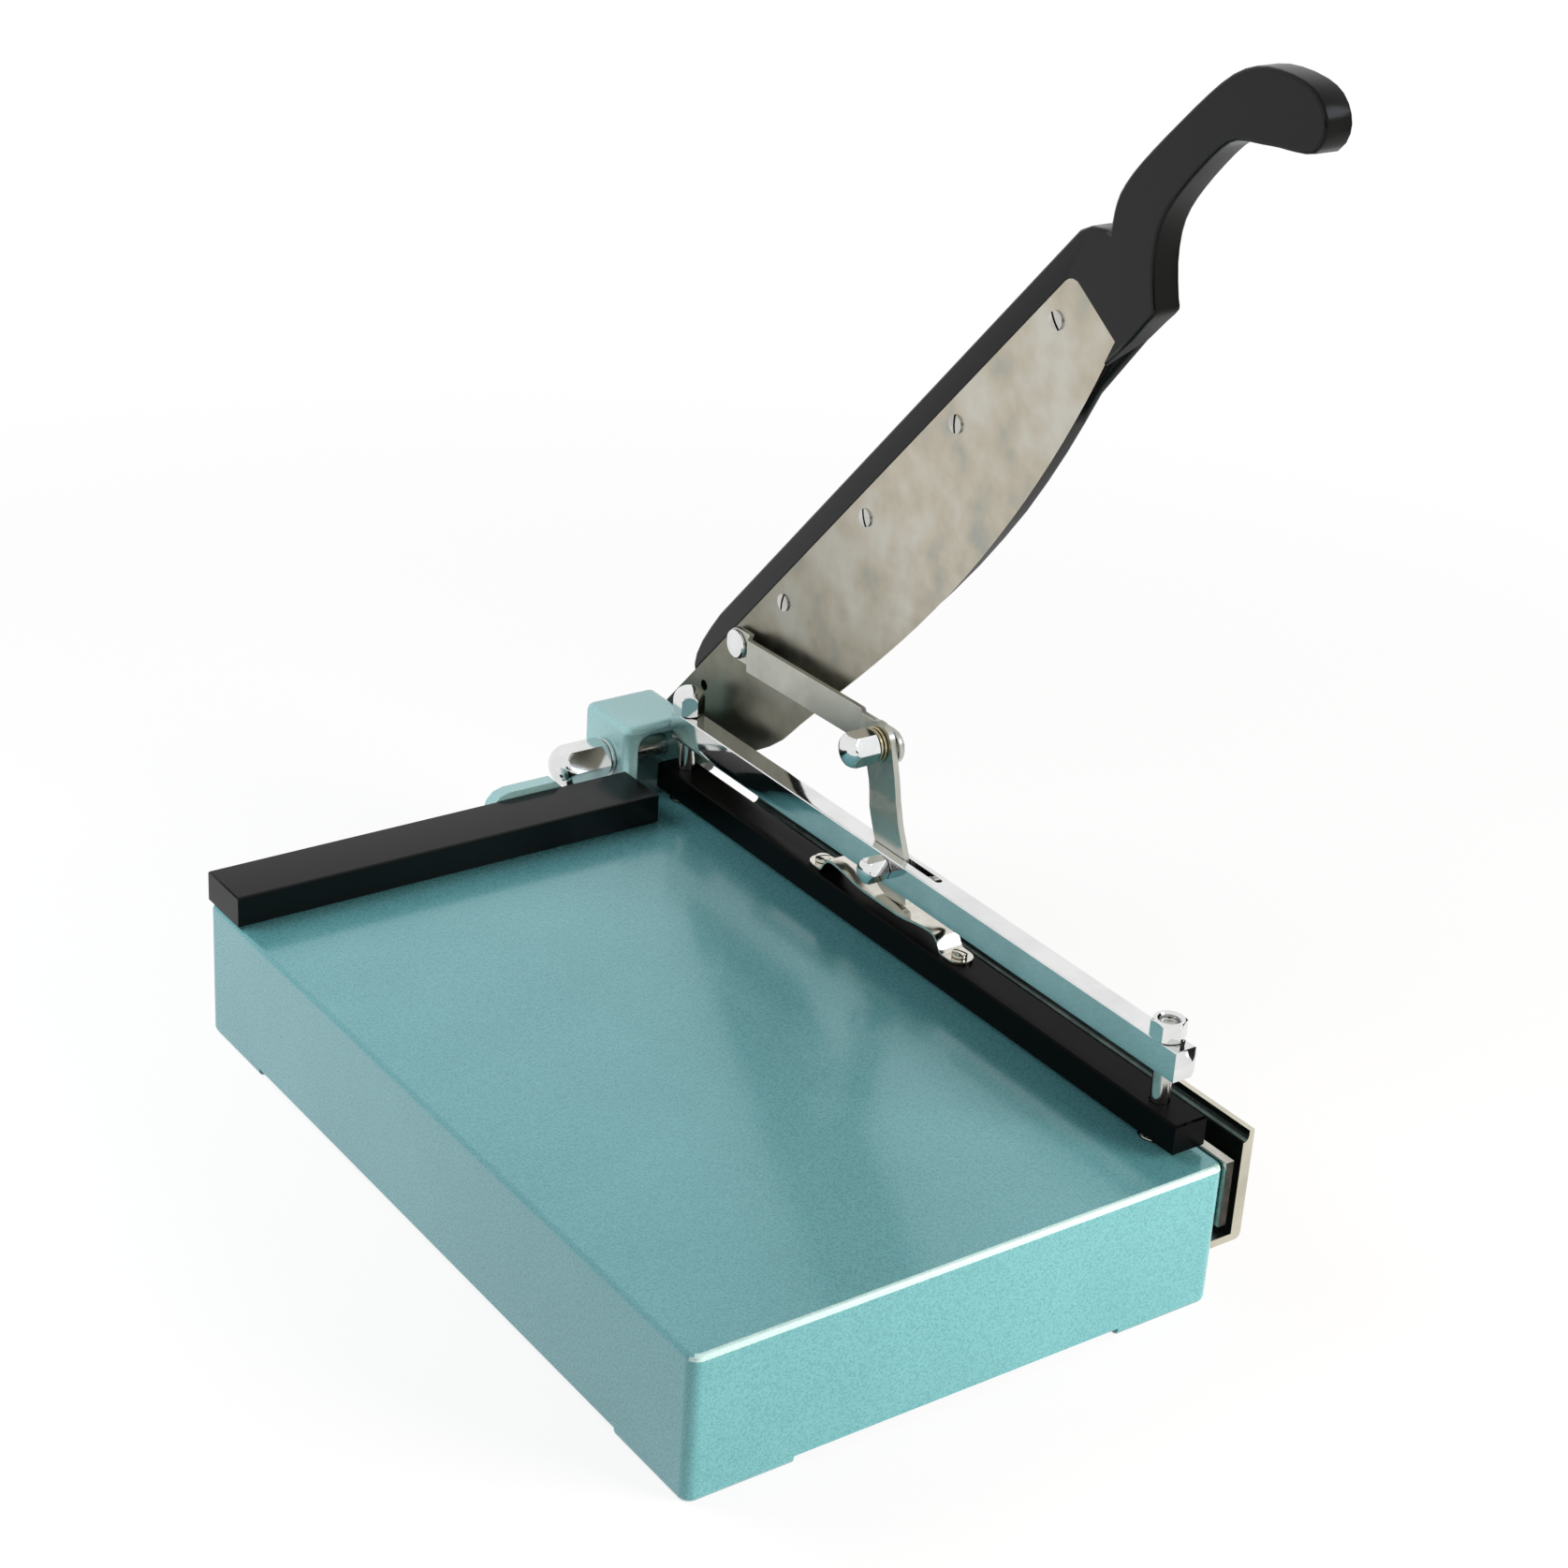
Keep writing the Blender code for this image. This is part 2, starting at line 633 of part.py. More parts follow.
def make_base(looks):
    mesh = bmesh.new()
    outline = rounded_box((LEFT, FRONT), (RIGHT, BACK), BASE_CORNER_RADIUS)
    layers = rounded_layers(outline, 0, TABLE, BASE_TOP_RADIUS)
    add_layers(mesh, layers, along_z)
    base = finish(mesh, "base_casting", looks["enamel"])

    pockets = bmesh.new()
    pocket_left = LEFT + BASE_WALL
    pocket_right = RIGHT - BASE_RIGHT_WALL
    span = BASE_DEPTH - 2 * BASE_WALL - BASE_RIB
    for side in (-1, 1):
        middle = MIDDLE + side * (span / 2 + BASE_RIB) / 2
        low = (pocket_left, middle - span / 4)
        high = (pocket_right, middle + span / 4)
        shape = rounded_box(low, high, BASE_POCKET_RADIUS)
        add_layers(pockets, straight_layers(shape, -OVERRUN, TABLE - BASE_TOP_WALL), along_z)
    cut_away(base, pockets, "base_pocket_cutter")

    relief = bmesh.new()
    across = rounded_box((LEFT - OVERRUN, FRONT + FOOT_LENGTH), (RIGHT + OVERRUN, BACK - FOOT_LENGTH),
                         BASE_TOP_RADIUS)
    add_layers(relief, straight_layers(across, -OVERRUN, FOOT_HEIGHT), along_z)
    cut_away(base, relief, "foot_relief_cutter_across")
    relief = bmesh.new()
    lengthwise = rounded_box((LEFT + FOOT_LENGTH, FRONT - OVERRUN), (RIGHT - FOOT_LENGTH, BACK + OVERRUN),
                             BASE_TOP_RADIUS)
    add_layers(relief, straight_layers(lengthwise, -OVERRUN, FOOT_HEIGHT), along_z)
    cut_away(base, relief, "foot_relief_cutter_lengthwise")

    holes = bmesh.new()
    for y in POSTS_Y:
        foot = TABLE - POST_ENGAGEMENT
        well = TABLE - SPRING_WELL_DEPTH
        bore = POST_RADIUS + SEAT_GAP
        stations = ((0, foot), (bore, foot), (bore, well), (SPRING_WELL_RADIUS, well),
                    (SPRING_WELL_RADIUS, TABLE + OVERRUN), (0, TABLE + OVERRUN))
        add_turned(holes, stations, ROUND_SIDES, (CLAMP_X, y, 0), (0, 0, 1))
    for y in knife_screw_rows():
        add_rod(holes, (RIGHT, y, KNIFE_SCREW_Z), (-1, 0, 0), KNIFE_SCREW_RADIUS + SEAT_GAP,
                -OVERRUN, KNIFE_SCREW_GRIP + SEAT_GAP)
    for y in rail_screw_rows():
        add_rod(holes, (RIGHT, y, RAIL_SCREW_Z), (-1, 0, 0), RAIL_SCREW_RADIUS + SEAT_GAP,
                -OVERRUN, RAIL_SCREW_GRIP + SEAT_GAP)
    for x in fence_screw_rows():
        add_rod(holes, (x, FENCE_SCREW_Y, TABLE), (0, 0, -1), FENCE_SCREW_RADIUS + SEAT_GAP,
                -OVERRUN, BASE_TOP_WALL + OVERRUN)
    cut_away(base, holes, "base_hole_cutter")
    tapped = bmesh.new()
    for x, z in bracket_bolt_places():
        add_rod(tapped, (x, BACK, z), (0, -1, 0), BRACKET_BOLT_RADIUS + SEAT_GAP,
                -OVERRUN, BRACKET_BOLT_GRIP + OVERRUN)
    cut_away(base, tapped, "base_bolt_hole_cutter")


def make_bed_knife(looks):
    mesh = bmesh.new()
    low = (FRONT + KNIFE_END_INSET, TABLE - KNIFE_HEIGHT)
    high = (BACK - KNIFE_REAR_INSET, TABLE)
    outline = anticlockwise(((low[0], low[1]), (high[0], low[1]), (high[0], high[1]), (low[0], high[1])))
    layers = chamfered_layers(outline, RIGHT + SEAT_GAP, KNIFE_FACE, KNIFE_CHAMFER)
    add_layers(mesh, layers, along_x)
    knife = finish(mesh, "bed_knife", looks["steel"])

    sinks = bmesh.new()
    head = KNIFE_SCREW_HEAD_HEIGHT
    for number, y in enumerate(knife_screw_rows(), 1):
        base = (KNIFE_FACE, y, KNIFE_SCREW_Z)
        reach = KNIFE_THICKNESS + SEAT_GAP + KNIFE_SCREW_GRIP
        stations = ((0, SEAT_GAP), (KNIFE_SCREW_HEAD_RADIUS, SEAT_GAP), (KNIFE_SCREW_RADIUS, head),
                    (KNIFE_SCREW_RADIUS, reach), (0, reach))
        turned_piece(f"bed_knife_screw_{number}", stations, SMALL_SIDES, base, (-1, 0, 0), looks["bolt"])
        wide = KNIFE_SCREW_HEAD_RADIUS + 2 * SEAT_GAP
        bore = KNIFE_SCREW_RADIUS + 2 * SEAT_GAP
        stations = ((0, -OVERRUN), (wide, -OVERRUN), (wide, SEAT_GAP), (bore, head + SEAT_GAP),
                    (bore, KNIFE_THICKNESS + OVERRUN), (0, KNIFE_THICKNESS + OVERRUN))
        add_turned(sinks, stations, SMALL_SIDES, base, (-1, 0, 0))
    cut_away(knife, sinks, "knife_countersink_cutter")


def make_fence(looks):
    mesh = bmesh.new()
    low = TABLE + SEAT_GAP
    high = low + FENCE_HEIGHT
    outline = anticlockwise((
        (LEFT, BACK - FENCE_DEPTH), (FENCE_RIGHT, BACK - FENCE_DEPTH), (FENCE_RIGHT, BACK), (LEFT, BACK),
    ))
    add_layers(mesh, chamfered_layers(outline, low, high, FENCE_CHAMFER), along_z)
    fence = finish(mesh, "back_fence", looks["black"])

    holes = bmesh.new()
    shoulder = BASE_TOP_WALL + SEAT_GAP
    socket = FENCE_SCREW_GRIP + SEAT_GAP
    for number, x in enumerate(fence_screw_rows(), 1):
        base = (x, FENCE_SCREW_Y, TABLE)
        bottom = -shoulder - FENCE_SCREW_HEAD_HEIGHT
        stations = ((0, bottom), (FENCE_SCREW_HEAD_RADIUS, bottom), (FENCE_SCREW_HEAD_RADIUS, -shoulder),
                    (FENCE_SCREW_RADIUS, -shoulder), (FENCE_SCREW_RADIUS, FENCE_SCREW_GRIP),
                    (0, FENCE_SCREW_GRIP))
        turned_piece(f"fence_screw_{number}", stations, SMALL_SIDES, base, (0, 0, 1), looks["bolt"])
        add_rod(holes, base, (0, 0, 1), FENCE_SCREW_RADIUS + SEAT_GAP, -OVERRUN, socket)
    cut_away(fence, holes, "fence_hole_cutter")


def rail_profile():
    # Section of the rail in X and Z: flange on the base, web, wall, shelf and lip
    lip_face = KNIFE_FACE + STRIP_WIDTH
    outer = lip_face + RAIL_LIP
    inner = outer - RAIL_WALL
    shelf = TABLE - RAIL_SHELF_BELOW
    top = TABLE + RAIL_TOP_ABOVE
    floor = RAIL_BOTTOM + RAIL_WEB
    seat = RIGHT + SEAT_GAP
    quarter = math.pi / 2
    points = [(seat, RAIL_BOTTOM + RAIL_FLANGE_HEIGHT), (seat, RAIL_BOTTOM)]
    points += arc((outer - RAIL_ROUNDING, RAIL_BOTTOM + RAIL_ROUNDING), RAIL_ROUNDING, -quarter, 0, 3)
    points += [(outer, top), (lip_face, top)]
    fillet = lip_face - inner
    points += [(lip_face, shelf + fillet)]
    points += arc((inner, shelf + fillet), fillet, 0, -quarter, 3)[1:]
    points += [(inner, floor), (seat + RAIL_FLANGE, floor)]
    points += [(seat + RAIL_FLANGE, RAIL_BOTTOM + RAIL_FLANGE_HEIGHT)]
    return anticlockwise(points)


def make_stop_rail(looks):
    mesh = bmesh.new()
    layers = straight_layers(rail_profile(), FRONT + RAIL_FRONT_INSET, BACK - RAIL_REAR_INSET)
    add_layers(mesh, layers, along_y)
    rail = finish(mesh, "stop_rail", looks["chrome"])

    holes = bmesh.new()
    face = RIGHT + SEAT_GAP + RAIL_FLANGE
    for number, y in enumerate(rail_screw_rows(), 1):
        base = (face, y, RAIL_SCREW_Z)
        top = SEAT_GAP + RAIL_SCREW_HEAD_HEIGHT
        tip = -(RAIL_FLANGE + SEAT_GAP + RAIL_SCREW_GRIP)
        edge = RAIL_SCREW_HEAD_RADIUS - RAIL_SCREW_HEAD_HEIGHT / 3
        stations = ((0, tip), (RAIL_SCREW_RADIUS, tip), (RAIL_SCREW_RADIUS, SEAT_GAP),
                    (RAIL_SCREW_HEAD_RADIUS, SEAT_GAP), (edge, top), (0, top))
        turned_piece(f"stop_rail_screw_{number}", stations, SMALL_SIDES, base, (1, 0, 0), looks["bolt"])
        add_rod(holes, base, (1, 0, 0), RAIL_SCREW_RADIUS + SEAT_GAP, -RAIL_FLANGE - OVERRUN, OVERRUN)
    cut_away(rail, holes, "rail_hole_cutter")


# Hinge group

def make_bracket(looks):
    seat = BACK + SEAT_GAP
    mesh = bmesh.new()
    block = rounded_box((BRACKET_LEFT, seat), (BRACKET_RIGHT, seat + BRACKET_DEPTH), BRACKET_ROUNDING, 3)
    layers = rounded_layers(block, BRACKET_FOOT, BRACKET_HEIGHT, BRACKET_ROUNDING, 3)
    add_layers(mesh, layers, along_z)
    bracket = finish(mesh, "hinge_bracket", looks["enamel"])

    # The ear that bolts to the base, scooped out below the cap nut
    ear = bmesh.new()
    quarter = math.pi / 2
    corner = BRACKET_PLATE_CORNER
    low_end = BRACKET_FOOT + BRACKET_ROUNDING
    inside = BRACKET_LEFT + BRACKET_ROUNDING
    scoop = BRACKET_PLATE_TOP - BRACKET_SCOOP_DEPTH
    points = [(inside, low_end), (inside, scoop), (SCOOP_START + corner, scoop)]
    points += arc((SCOOP_START + corner, scoop + corner), corner, 3 * quarter, 2 * quarter, 3)[1:]
    points += [(SCOOP_START, BRACKET_PLATE_TOP - corner / 2)]
    points += [(SCOOP_START - corner / 2, BRACKET_PLATE_TOP)]
    points += arc((EAR_LEFT + corner, BRACKET_PLATE_TOP - corner), corner, quarter, 2 * quarter, 3)
    points += arc((EAR_LEFT + corner, BRACKET_FOOT + corner), corner, 2 * quarter, 3 * quarter, 3)
    points += [(inside - corner, BRACKET_FOOT)]
    outline = anticlockwise(points)
    layers = straight_layers(outline, seat, seat + BRACKET_PLATE_THICKNESS)
    add_layers(ear, layers, along_y)
    plate = finish(ear, "bracket_ear_guide", looks["enamel"])
    plate.hide_render = True
    plate.display_type = "WIRE"
    joined = bracket.modifiers.new("ear", "BOOLEAN")
    joined.operation = "UNION"
    joined.solver = "EXACT"
    joined.object = plate

    holes = bmesh.new()
    arch_top = BRACKET_HEIGHT - ARCH_HEADROOM
    arch = rounded_box((BRACKET_LEFT + ARCH_CHEEK, TABLE), (BRACKET_RIGHT - ARCH_CHEEK, arch_top),
                       ARCH_RADIUS, 3)
    add_layers(holes, straight_layers(arch, seat - OVERRUN, seat + ARCH_DEPTH), along_y)
    cut_away(bracket, holes, "arch_cutter")
    bores = bmesh.new()
    length = BRACKET_RIGHT - BRACKET_LEFT
    add_rod(bores, (BRACKET_LEFT, PIVOT_Y, PIVOT_Z), (1, 0, 0), SHAFT_RADIUS + SEAT_GAP,
            -OVERRUN, length + OVERRUN, ROUND_SIDES)
    for x, z in bracket_bolt_places():
        add_rod(bores, (x, seat, z), (0, 1, 0), BRACKET_BOLT_RADIUS + SEAT_GAP,
                -OVERRUN, BRACKET_PLATE_THICKNESS + OVERRUN)
    cut_away(bracket, bores, "bracket_bore_cutter")

    for number, (x, z) in enumerate(bracket_bolt_places(), 1):
        base = (x, seat + BRACKET_PLATE_THICKNESS + SEAT_GAP, z)
        tip = -(BRACKET_PLATE_THICKNESS + 2 * SEAT_GAP + BRACKET_BOLT_GRIP)
        head = BRACKET_BOLT_HEAD_HEIGHT
        edge = BRACKET_BOLT_HEAD_RADIUS
        key = BRACKET_BOLT_SOCKET_FLATS / 2
        corner = key / math.cos(math.pi / 6)
        bottom = head - BRACKET_BOLT_SOCKET_DEPTH
        stations = ((0, tip), (BRACKET_BOLT_RADIUS, tip), (BRACKET_BOLT_RADIUS, 0), (edge, 0),
                    (edge, head), (key, head, corner), (key, bottom, corner), (0, bottom))
        turned_piece(f"bracket_bolt_{number}", stations, SMALL_SIDES, base, (0, 1, 0), looks["bolt"])


def cap_nut(name, flats, hex_height, dome_height, bore, bore_depth, base, direction, surface, parent=None):
    half = flats / 2
    corner = half / math.cos(math.pi / 6)
    middle = (half + corner) / 2
    rise = corner - middle
    stations = [(0, bore_depth), (bore, bore_depth), (bore, 0), (half, 0, middle), (half, rise, corner),
                (half, hex_height - rise, corner)]
    for share in CROWN_SHARES:
        limit = corner * math.sqrt(1 - share * share)
        stations.append((half, hex_height + dome_height * share, limit))
    stations.append((0, hex_height + dome_height))
    return turned_piece(name, stations, ROUND_SIDES, base, direction, surface, parent)


def hex_nut(name, flats, height, bore, base, direction, surface, parent=None):
    half = flats / 2
    corner = half / math.cos(math.pi / 6)
    middle = (half + corner) / 2
    rise = corner - middle
    stations = ((bore, 0), (half, 0, middle), (half, rise, corner), (half, height - rise, corner),
                (half, height, middle), (bore, height))
    return turned_piece(name, stations, ROUND_SIDES, base, direction, surface, parent)


def washer(name, radius, bore, thickness, base, direction, surface, parent=None):
    stations = ((bore, 0), (radius, 0), (radius, thickness), (bore, thickness))
    return turned_piece(name, stations, ROUND_SIDES, base, direction, surface, parent)


def make_pivot(looks):
    bore = SHAFT_RADIUS + SEAT_GAP
    left = BRACKET_LEFT - SEAT_GAP
    washer("pivot_cap_washer", PIVOT_CAP_WASHER_RADIUS, bore, PIVOT_CAP_WASHER,
           (left, PIVOT_Y, PIVOT_Z), (-1, 0, 0), looks["chrome"])
    cap_face = left - PIVOT_CAP_WASHER - SEAT_GAP
    cap_nut("pivot_cap_nut", PIVOT_CAP_FLATS, PIVOT_CAP_HEX, PIVOT_CAP_DOME, bore, PIVOT_CAP_BORE,
            (cap_face, PIVOT_Y, PIVOT_Z), (-1, 0, 0), looks["chrome"])
    right = BRACKET_RIGHT + SEAT_GAP
    washer("pivot_inner_washer", PIVOT_WASHER_RADIUS, bore, BLADE_INNER - SEAT_GAP - right,
           (right, PIVOT_Y, PIVOT_Z), (1, 0, 0), looks["steel"])
    outer = LEVER_OUTER + RUNNING_GAP
    washer("pivot_outer_washer", PIVOT_WASHER_RADIUS, bore, PIVOT_OUTER_WASHER,
           (outer, PIVOT_Y, PIVOT_Z), (1, 0, 0), looks["steel"])
    nut_face = outer + PIVOT_OUTER_WASHER + SEAT_GAP
    hex_nut("pivot_lock_nut", PIVOT_NUT_FLATS, PIVOT_NUT_HEIGHT, bore,
            (nut_face, PIVOT_Y, PIVOT_Z), (1, 0, 0), looks["chrome"])

    start = cap_face - PIVOT_CAP_BORE + SEAT_GAP
    stop = nut_face + PIVOT_NUT_HEIGHT + SHAFT_END_PROUD
    chamfer = SHAFT_END_PROUD / 2
    stations = ((0, start), (SHAFT_RADIUS, start), (SHAFT_RADIUS, stop - chamfer),
                (SHAFT_RADIUS - chamfer, stop), (0, stop))
    turned_piece("pivot_shaft", stations, ROUND_SIDES, (0, PIVOT_Y, PIVOT_Z), (1, 0, 0), looks["steel"])


# Lever group

def belly_points():
    points = [(BLADE_LENGTH, BLADE_TIP_DEPTH)]
    for length_share, depth_share in BELLY_SHARES:
        depth = BLADE_TIP_DEPTH + depth_share * (BLADE_BELLY - BLADE_TIP_DEPTH)
        points.append((length_share * BLADE_LENGTH, depth))
    return points


def blade_outlines():
    # The full outline, and the outline of the outer face, drawn back along the ground edge
    heel = BLADE_HEEL_RADIUS
    heel_meet = (heel * math.cos(BLADE_HEEL_ANGLE), heel * math.sin(BLADE_HEEL_ANGLE))
    edge = smooth_through(belly_points() + [heel_meet], 3)
    quarter = math.pi / 2
    round_heel = arc((0, 0), heel, BLADE_HEEL_ANGLE, 3 * quarter, HEEL_STEPS)[1:]
    top = BLADE_LENGTH - BLADE_TIP_LEAN
    corner = arc((top - BLADE_TIP_RADIUS, BLADE_TIP_RADIUS - heel), BLADE_TIP_RADIUS, -quarter, 0, 4)
    full = edge + round_heel + corner
    ground = []
    for i, (along, below) in enumerate(full):
        fade = min(1.0, i / 2) if i < len(edge) else 0.0
        near_heel = min(1.0, max(0.0, (along - heel) / heel))
        ground.append((along, below - BLADE_GRIND * fade * near_heel))
    return full, ground


def to_blade_frame(points):
    return np.array([blade_point(along, below) for along, below in points])


def make_blade(looks, lever):
    full, ground = blade_outlines()
    full = to_blade_frame(full)
    ground = to_blade_frame(ground)
    flat = BLADE_INNER + BLADE_THICKNESS - BLADE_GRIND_DEPTH
    layers = [(BLADE_INNER, full), (flat, full), (BLADE_OUTER, ground)]
    pivot = (PIVOT_Y, PIVOT_Z)
    holes = [circle(pivot, SHAFT_RADIUS + RUNNING_GAP, ROUND_SIDES)]
    for place in blade_screw_places():
        holes.append(circle(place, BLADE_SCREW_RADIUS + SEAT_GAP, SMALL_SIDES))
    spare = blade_point(BLADE_SPARE_HOLE_PLACE, -BLADE_SCREW_LINE)
    holes.append(circle(spare, BLADE_SPARE_HOLE_RADIUS, SMALL_SIDES))
    bolt = blade_point(LINK_BOLT_PLACE, -BLADE_SCREW_LINE)
    holes.append(circle(bolt, LINK_BOLT_RADIUS + SEAT_GAP, ROUND_SIDES))
    mesh = bmesh.new()
    add_layers(mesh, layers, along_x, holes)
    finish(mesh, "blade", looks["steel"], lever, 12)

    for number, (y, z) in enumerate(blade_screw_places(), 1):
        head = BLADE_SCREW_HEAD_HEIGHT
        tip = -(BLADE_THICKNESS + LEVER_THICKNESS / 2)
        stations = ((0, tip), (BLADE_SCREW_RADIUS, tip), (BLADE_SCREW_RADIUS, SEAT_GAP),
                    (BLADE_SCREW_HEAD_RADIUS, SEAT_GAP), (BLADE_SCREW_HEAD_RADIUS, head * HEAD_RIM_SHARE),
                    (BLADE_SCREW_HEAD_RADIUS * HEAD_CROWN_SHARE, head), (0, head))
        turned_piece(f"blade_screw_{number}", stations, SMALL_SIDES, (BLADE_INNER, y, z), (-1, 0, 0),
                     looks["steel"], lever)


def lever_outline():
    band_top = BLADE_HEEL_RADIUS + LEVER_BAND
    hub = BLADE_HEEL_RADIUS - LEVER_HUB_INSET
    points = []
    for share, depth_share in GRIP_OUTLINE_SHARES:
        points.append((BLADE_LENGTH + share * GRIP_LENGTH, depth_share * GRIP_DEPTH - band_top))
    points = smooth_through(points, 2)
    for share, depth_share in NOTCH_SHARES:
        points.append((BLADE_LENGTH + share * GRIP_LENGTH, depth_share * GRIP_DEPTH - band_top))
    # The band's rear end comes down in a curve to the blade's back
    shoulder = [(LEVER_SHOULDER_PLACE, -band_top)]
    rear = LEVER_SHOULDER_PLACE - LEVER_SHOULDER_FOOT
    quarter = math.pi / 2
    for step in range(1, SHOULDER_STEPS):
        angle = quarter * step / SHOULDER_STEPS
        along = LEVER_SHOULDER_PLACE - LEVER_SHOULDER_FOOT * math.sin(angle)
        below = -hub - LEVER_BAND * math.cos(angle)
        shoulder.append((along, below))
    shoulder.append((rear, -hub))
    points += shoulder
    points += arc((0, 0), hub, -quarter, BLADE_HEEL_ANGLE - math.tau, HEEL_STEPS)
    edge = [(along, below - LEVER_EDGE_INSET) for along, below in reversed(belly_points()[1:])]
    points += smooth_through(edge, 2)
    return anticlockwise(to_blade_frame(points))


def make_lever(looks, lever):
    outline = lever_outline()
    holes = [circle((PIVOT_Y, PIVOT_Z), SHAFT_RADIUS + RUNNING_GAP, ROUND_SIDES)]
    bolt = blade_point(LINK_BOLT_PLACE, -BLADE_SCREW_LINE)
    holes.append(circle(bolt, LINK_BOLT_RADIUS + SEAT_GAP, ROUND_SIDES))
    mesh = bmesh.new()
    layers = rounded_layers(outline, LEVER_INNER, LEVER_OUTER, LEVER_ROUNDING)
    add_layers(mesh, layers, along_x, holes)

    # The grip is thicker than the arm: its outer face moves out over a short blend
    start = BLADE_LENGTH + GRIP_START
    extra = GRIP_THICKNESS - LEVER_THICKNESS
    cosine = math.cos(RAISED_ANGLE)
    sine = math.sin(RAISED_ANGLE)
    middle = (LEVER_INNER + LEVER_OUTER) / 2
    for share in (0, 1):
        y, z = blade_point(start + share * GRIP_BLEND, 0)
        geometry = mesh.verts[:] + mesh.edges[:] + mesh.faces[:]
        bmesh.ops.bisect_plane(mesh, geom=geometry, plane_co=(0, y, z), plane_no=(0, -cosine, sine))
    for vertex in mesh.verts:
        along = (PIVOT_Y - vertex.co.y) * cosine + (vertex.co.z - PIVOT_Z) * sine
        share = min(1.0, max(0.0, (along - start) / GRIP_BLEND))
        if vertex.co.x > middle:
            vertex.co.x += extra * share
    arm = finish(mesh, "lever_arm", looks["black"], lever)

    # The blade's seat is milled into the inner face, open towards the cutting edge
    outline = to_blade_frame(blade_outlines()[0])
    grown = inset(anticlockwise(outline), -SEAT_GAP)
    seat = bmesh.new()
    far = BLADE_OUTER + SEAT_GAP
    add_layers(seat, straight_layers(grown, LEVER_INNER - OVERRUN, far), along_x)
    cut_away(arm, seat, "blade_seat_cutter")
    tapped = bmesh.new()
    for y, z in blade_screw_places():
        depth = BLADE_THICKNESS + LEVER_THICKNESS / 2 + SEAT_GAP
        add_rod(tapped, (BLADE_INNER, y, z), (1, 0, 0), BLADE_SCREW_RADIUS + SEAT_GAP, 0, depth)
    cut_away(arm, tapped, "lever_tapped_hole_cutter")


def make_link_bolt(looks, lever):
    y, z = blade_point(LINK_BOLT_PLACE, -BLADE_SCREW_LINE)
    collar_start = LINK_OUTER + SEAT_GAP
    collar_end = BLADE_INNER - SEAT_GAP
    head = LINK_INNER + LINK_LIFT - RUNNING_GAP
    tip = LEVER_OUTER + RUNNING_GAP
    stations = ((0, head - LINK_BOLT_HEAD_HEIGHT),
                (LINK_BOLT_HEAD_RADIUS * HEAD_CROWN_SHARE, head - LINK_BOLT_HEAD_HEIGHT),
                (LINK_BOLT_HEAD_RADIUS, head - LINK_BOLT_HEAD_HEIGHT * HEAD_RIM_SHARE),
                (LINK_BOLT_HEAD_RADIUS, head), (LINK_BOLT_RADIUS, head), (LINK_BOLT_RADIUS, tip), (0, tip))
    turned_piece("link_bolt", stations, ROUND_SIDES, (0, y, z), (1, 0, 0), looks["steel"], lever)
    washer("link_collar", LINK_COLLAR_RADIUS, LINK_BOLT_RADIUS + SEAT_GAP, collar_end - collar_start,
           (collar_start, y, z), (1, 0, 0), looks["steel"], lever)


# Lift link

def make_link(looks, parent):
    start = Vector((*blade_point(LINK_BOLT_PLACE, -BLADE_SCREW_LINE), 0))
    knee = Vector((KNEE_Y, KNEE_Z, 0))
    length = (knee - start).length
    slot_radius = KNEE_PIN_RADIUS + LINK_SLOT_DRIFT + RUNNING_GAP
    tip = length + LINK_SLOT_FORWARD + KNEE_PIN_RADIUS + RUNNING_GAP + LINK_END_WALL
    half = LINK_HALF_WIDTH
    quarter = math.pi / 2
    points = arc((0, 0), half, quarter, 3 * quarter, 8)
    points += arc((tip - half, 0), half, -quarter, quarter, 8)
    outline = anticlockwise(points)
    eye = circle((0, 0), LINK_BOLT_RADIUS + RUNNING_GAP, ROUND_SIDES)
    reach = slot_radius - KNEE_PIN_RADIUS - RUNNING_GAP
    back = length - LINK_SLOT_BACK + reach
    front = length + LINK_SLOT_FORWARD - reach
    knee_slot = slot((back, 0), (front, 0), slot_radius)
    mesh = bmesh.new()
    layers = chamfered_layers(outline, 0, LINK_THICKNESS, SEAT_GAP)
    add_layers(mesh, layers, along_z, [eye, knee_slot])

    # The strip steps inwards beside the bolt and again before the knee, in short double bends
    joggle_start = length - LINK_JOGGLE_START - LINK_JOGGLE_LENGTH
    cuts = list(np.linspace(LINK_LIFT_START, LINK_LIFT_START + LINK_LIFT_LENGTH, 5))
    cuts += list(np.linspace(joggle_start, joggle_start + LINK_JOGGLE_LENGTH, 4))
    heading = (knee - start).normalized()

    def eased(place, begin, reach):
        share = min(1.0, max(0.0, (place - begin) / reach))
        return share * share * (3 - 2 * share)

    def fold(spot):
        x = LINK_INNER + LINK_LIFT + spot.z
        x -= LINK_LIFT * eased(spot.x, LINK_LIFT_START, LINK_LIFT_LENGTH)
        x -= LINK_OFFSET * eased(spot.x, joggle_start, LINK_JOGGLE_LENGTH)
        y = start.x + heading.x * spot.x - heading.y * spot.y
        z = start.y + heading.y * spot.x + heading.x * spot.y
        return Vector((x, y, z))

    bend(mesh, 0, cuts, fold)
    finish(mesh, "lift_link", looks["steel"], parent)


# Riser and knee

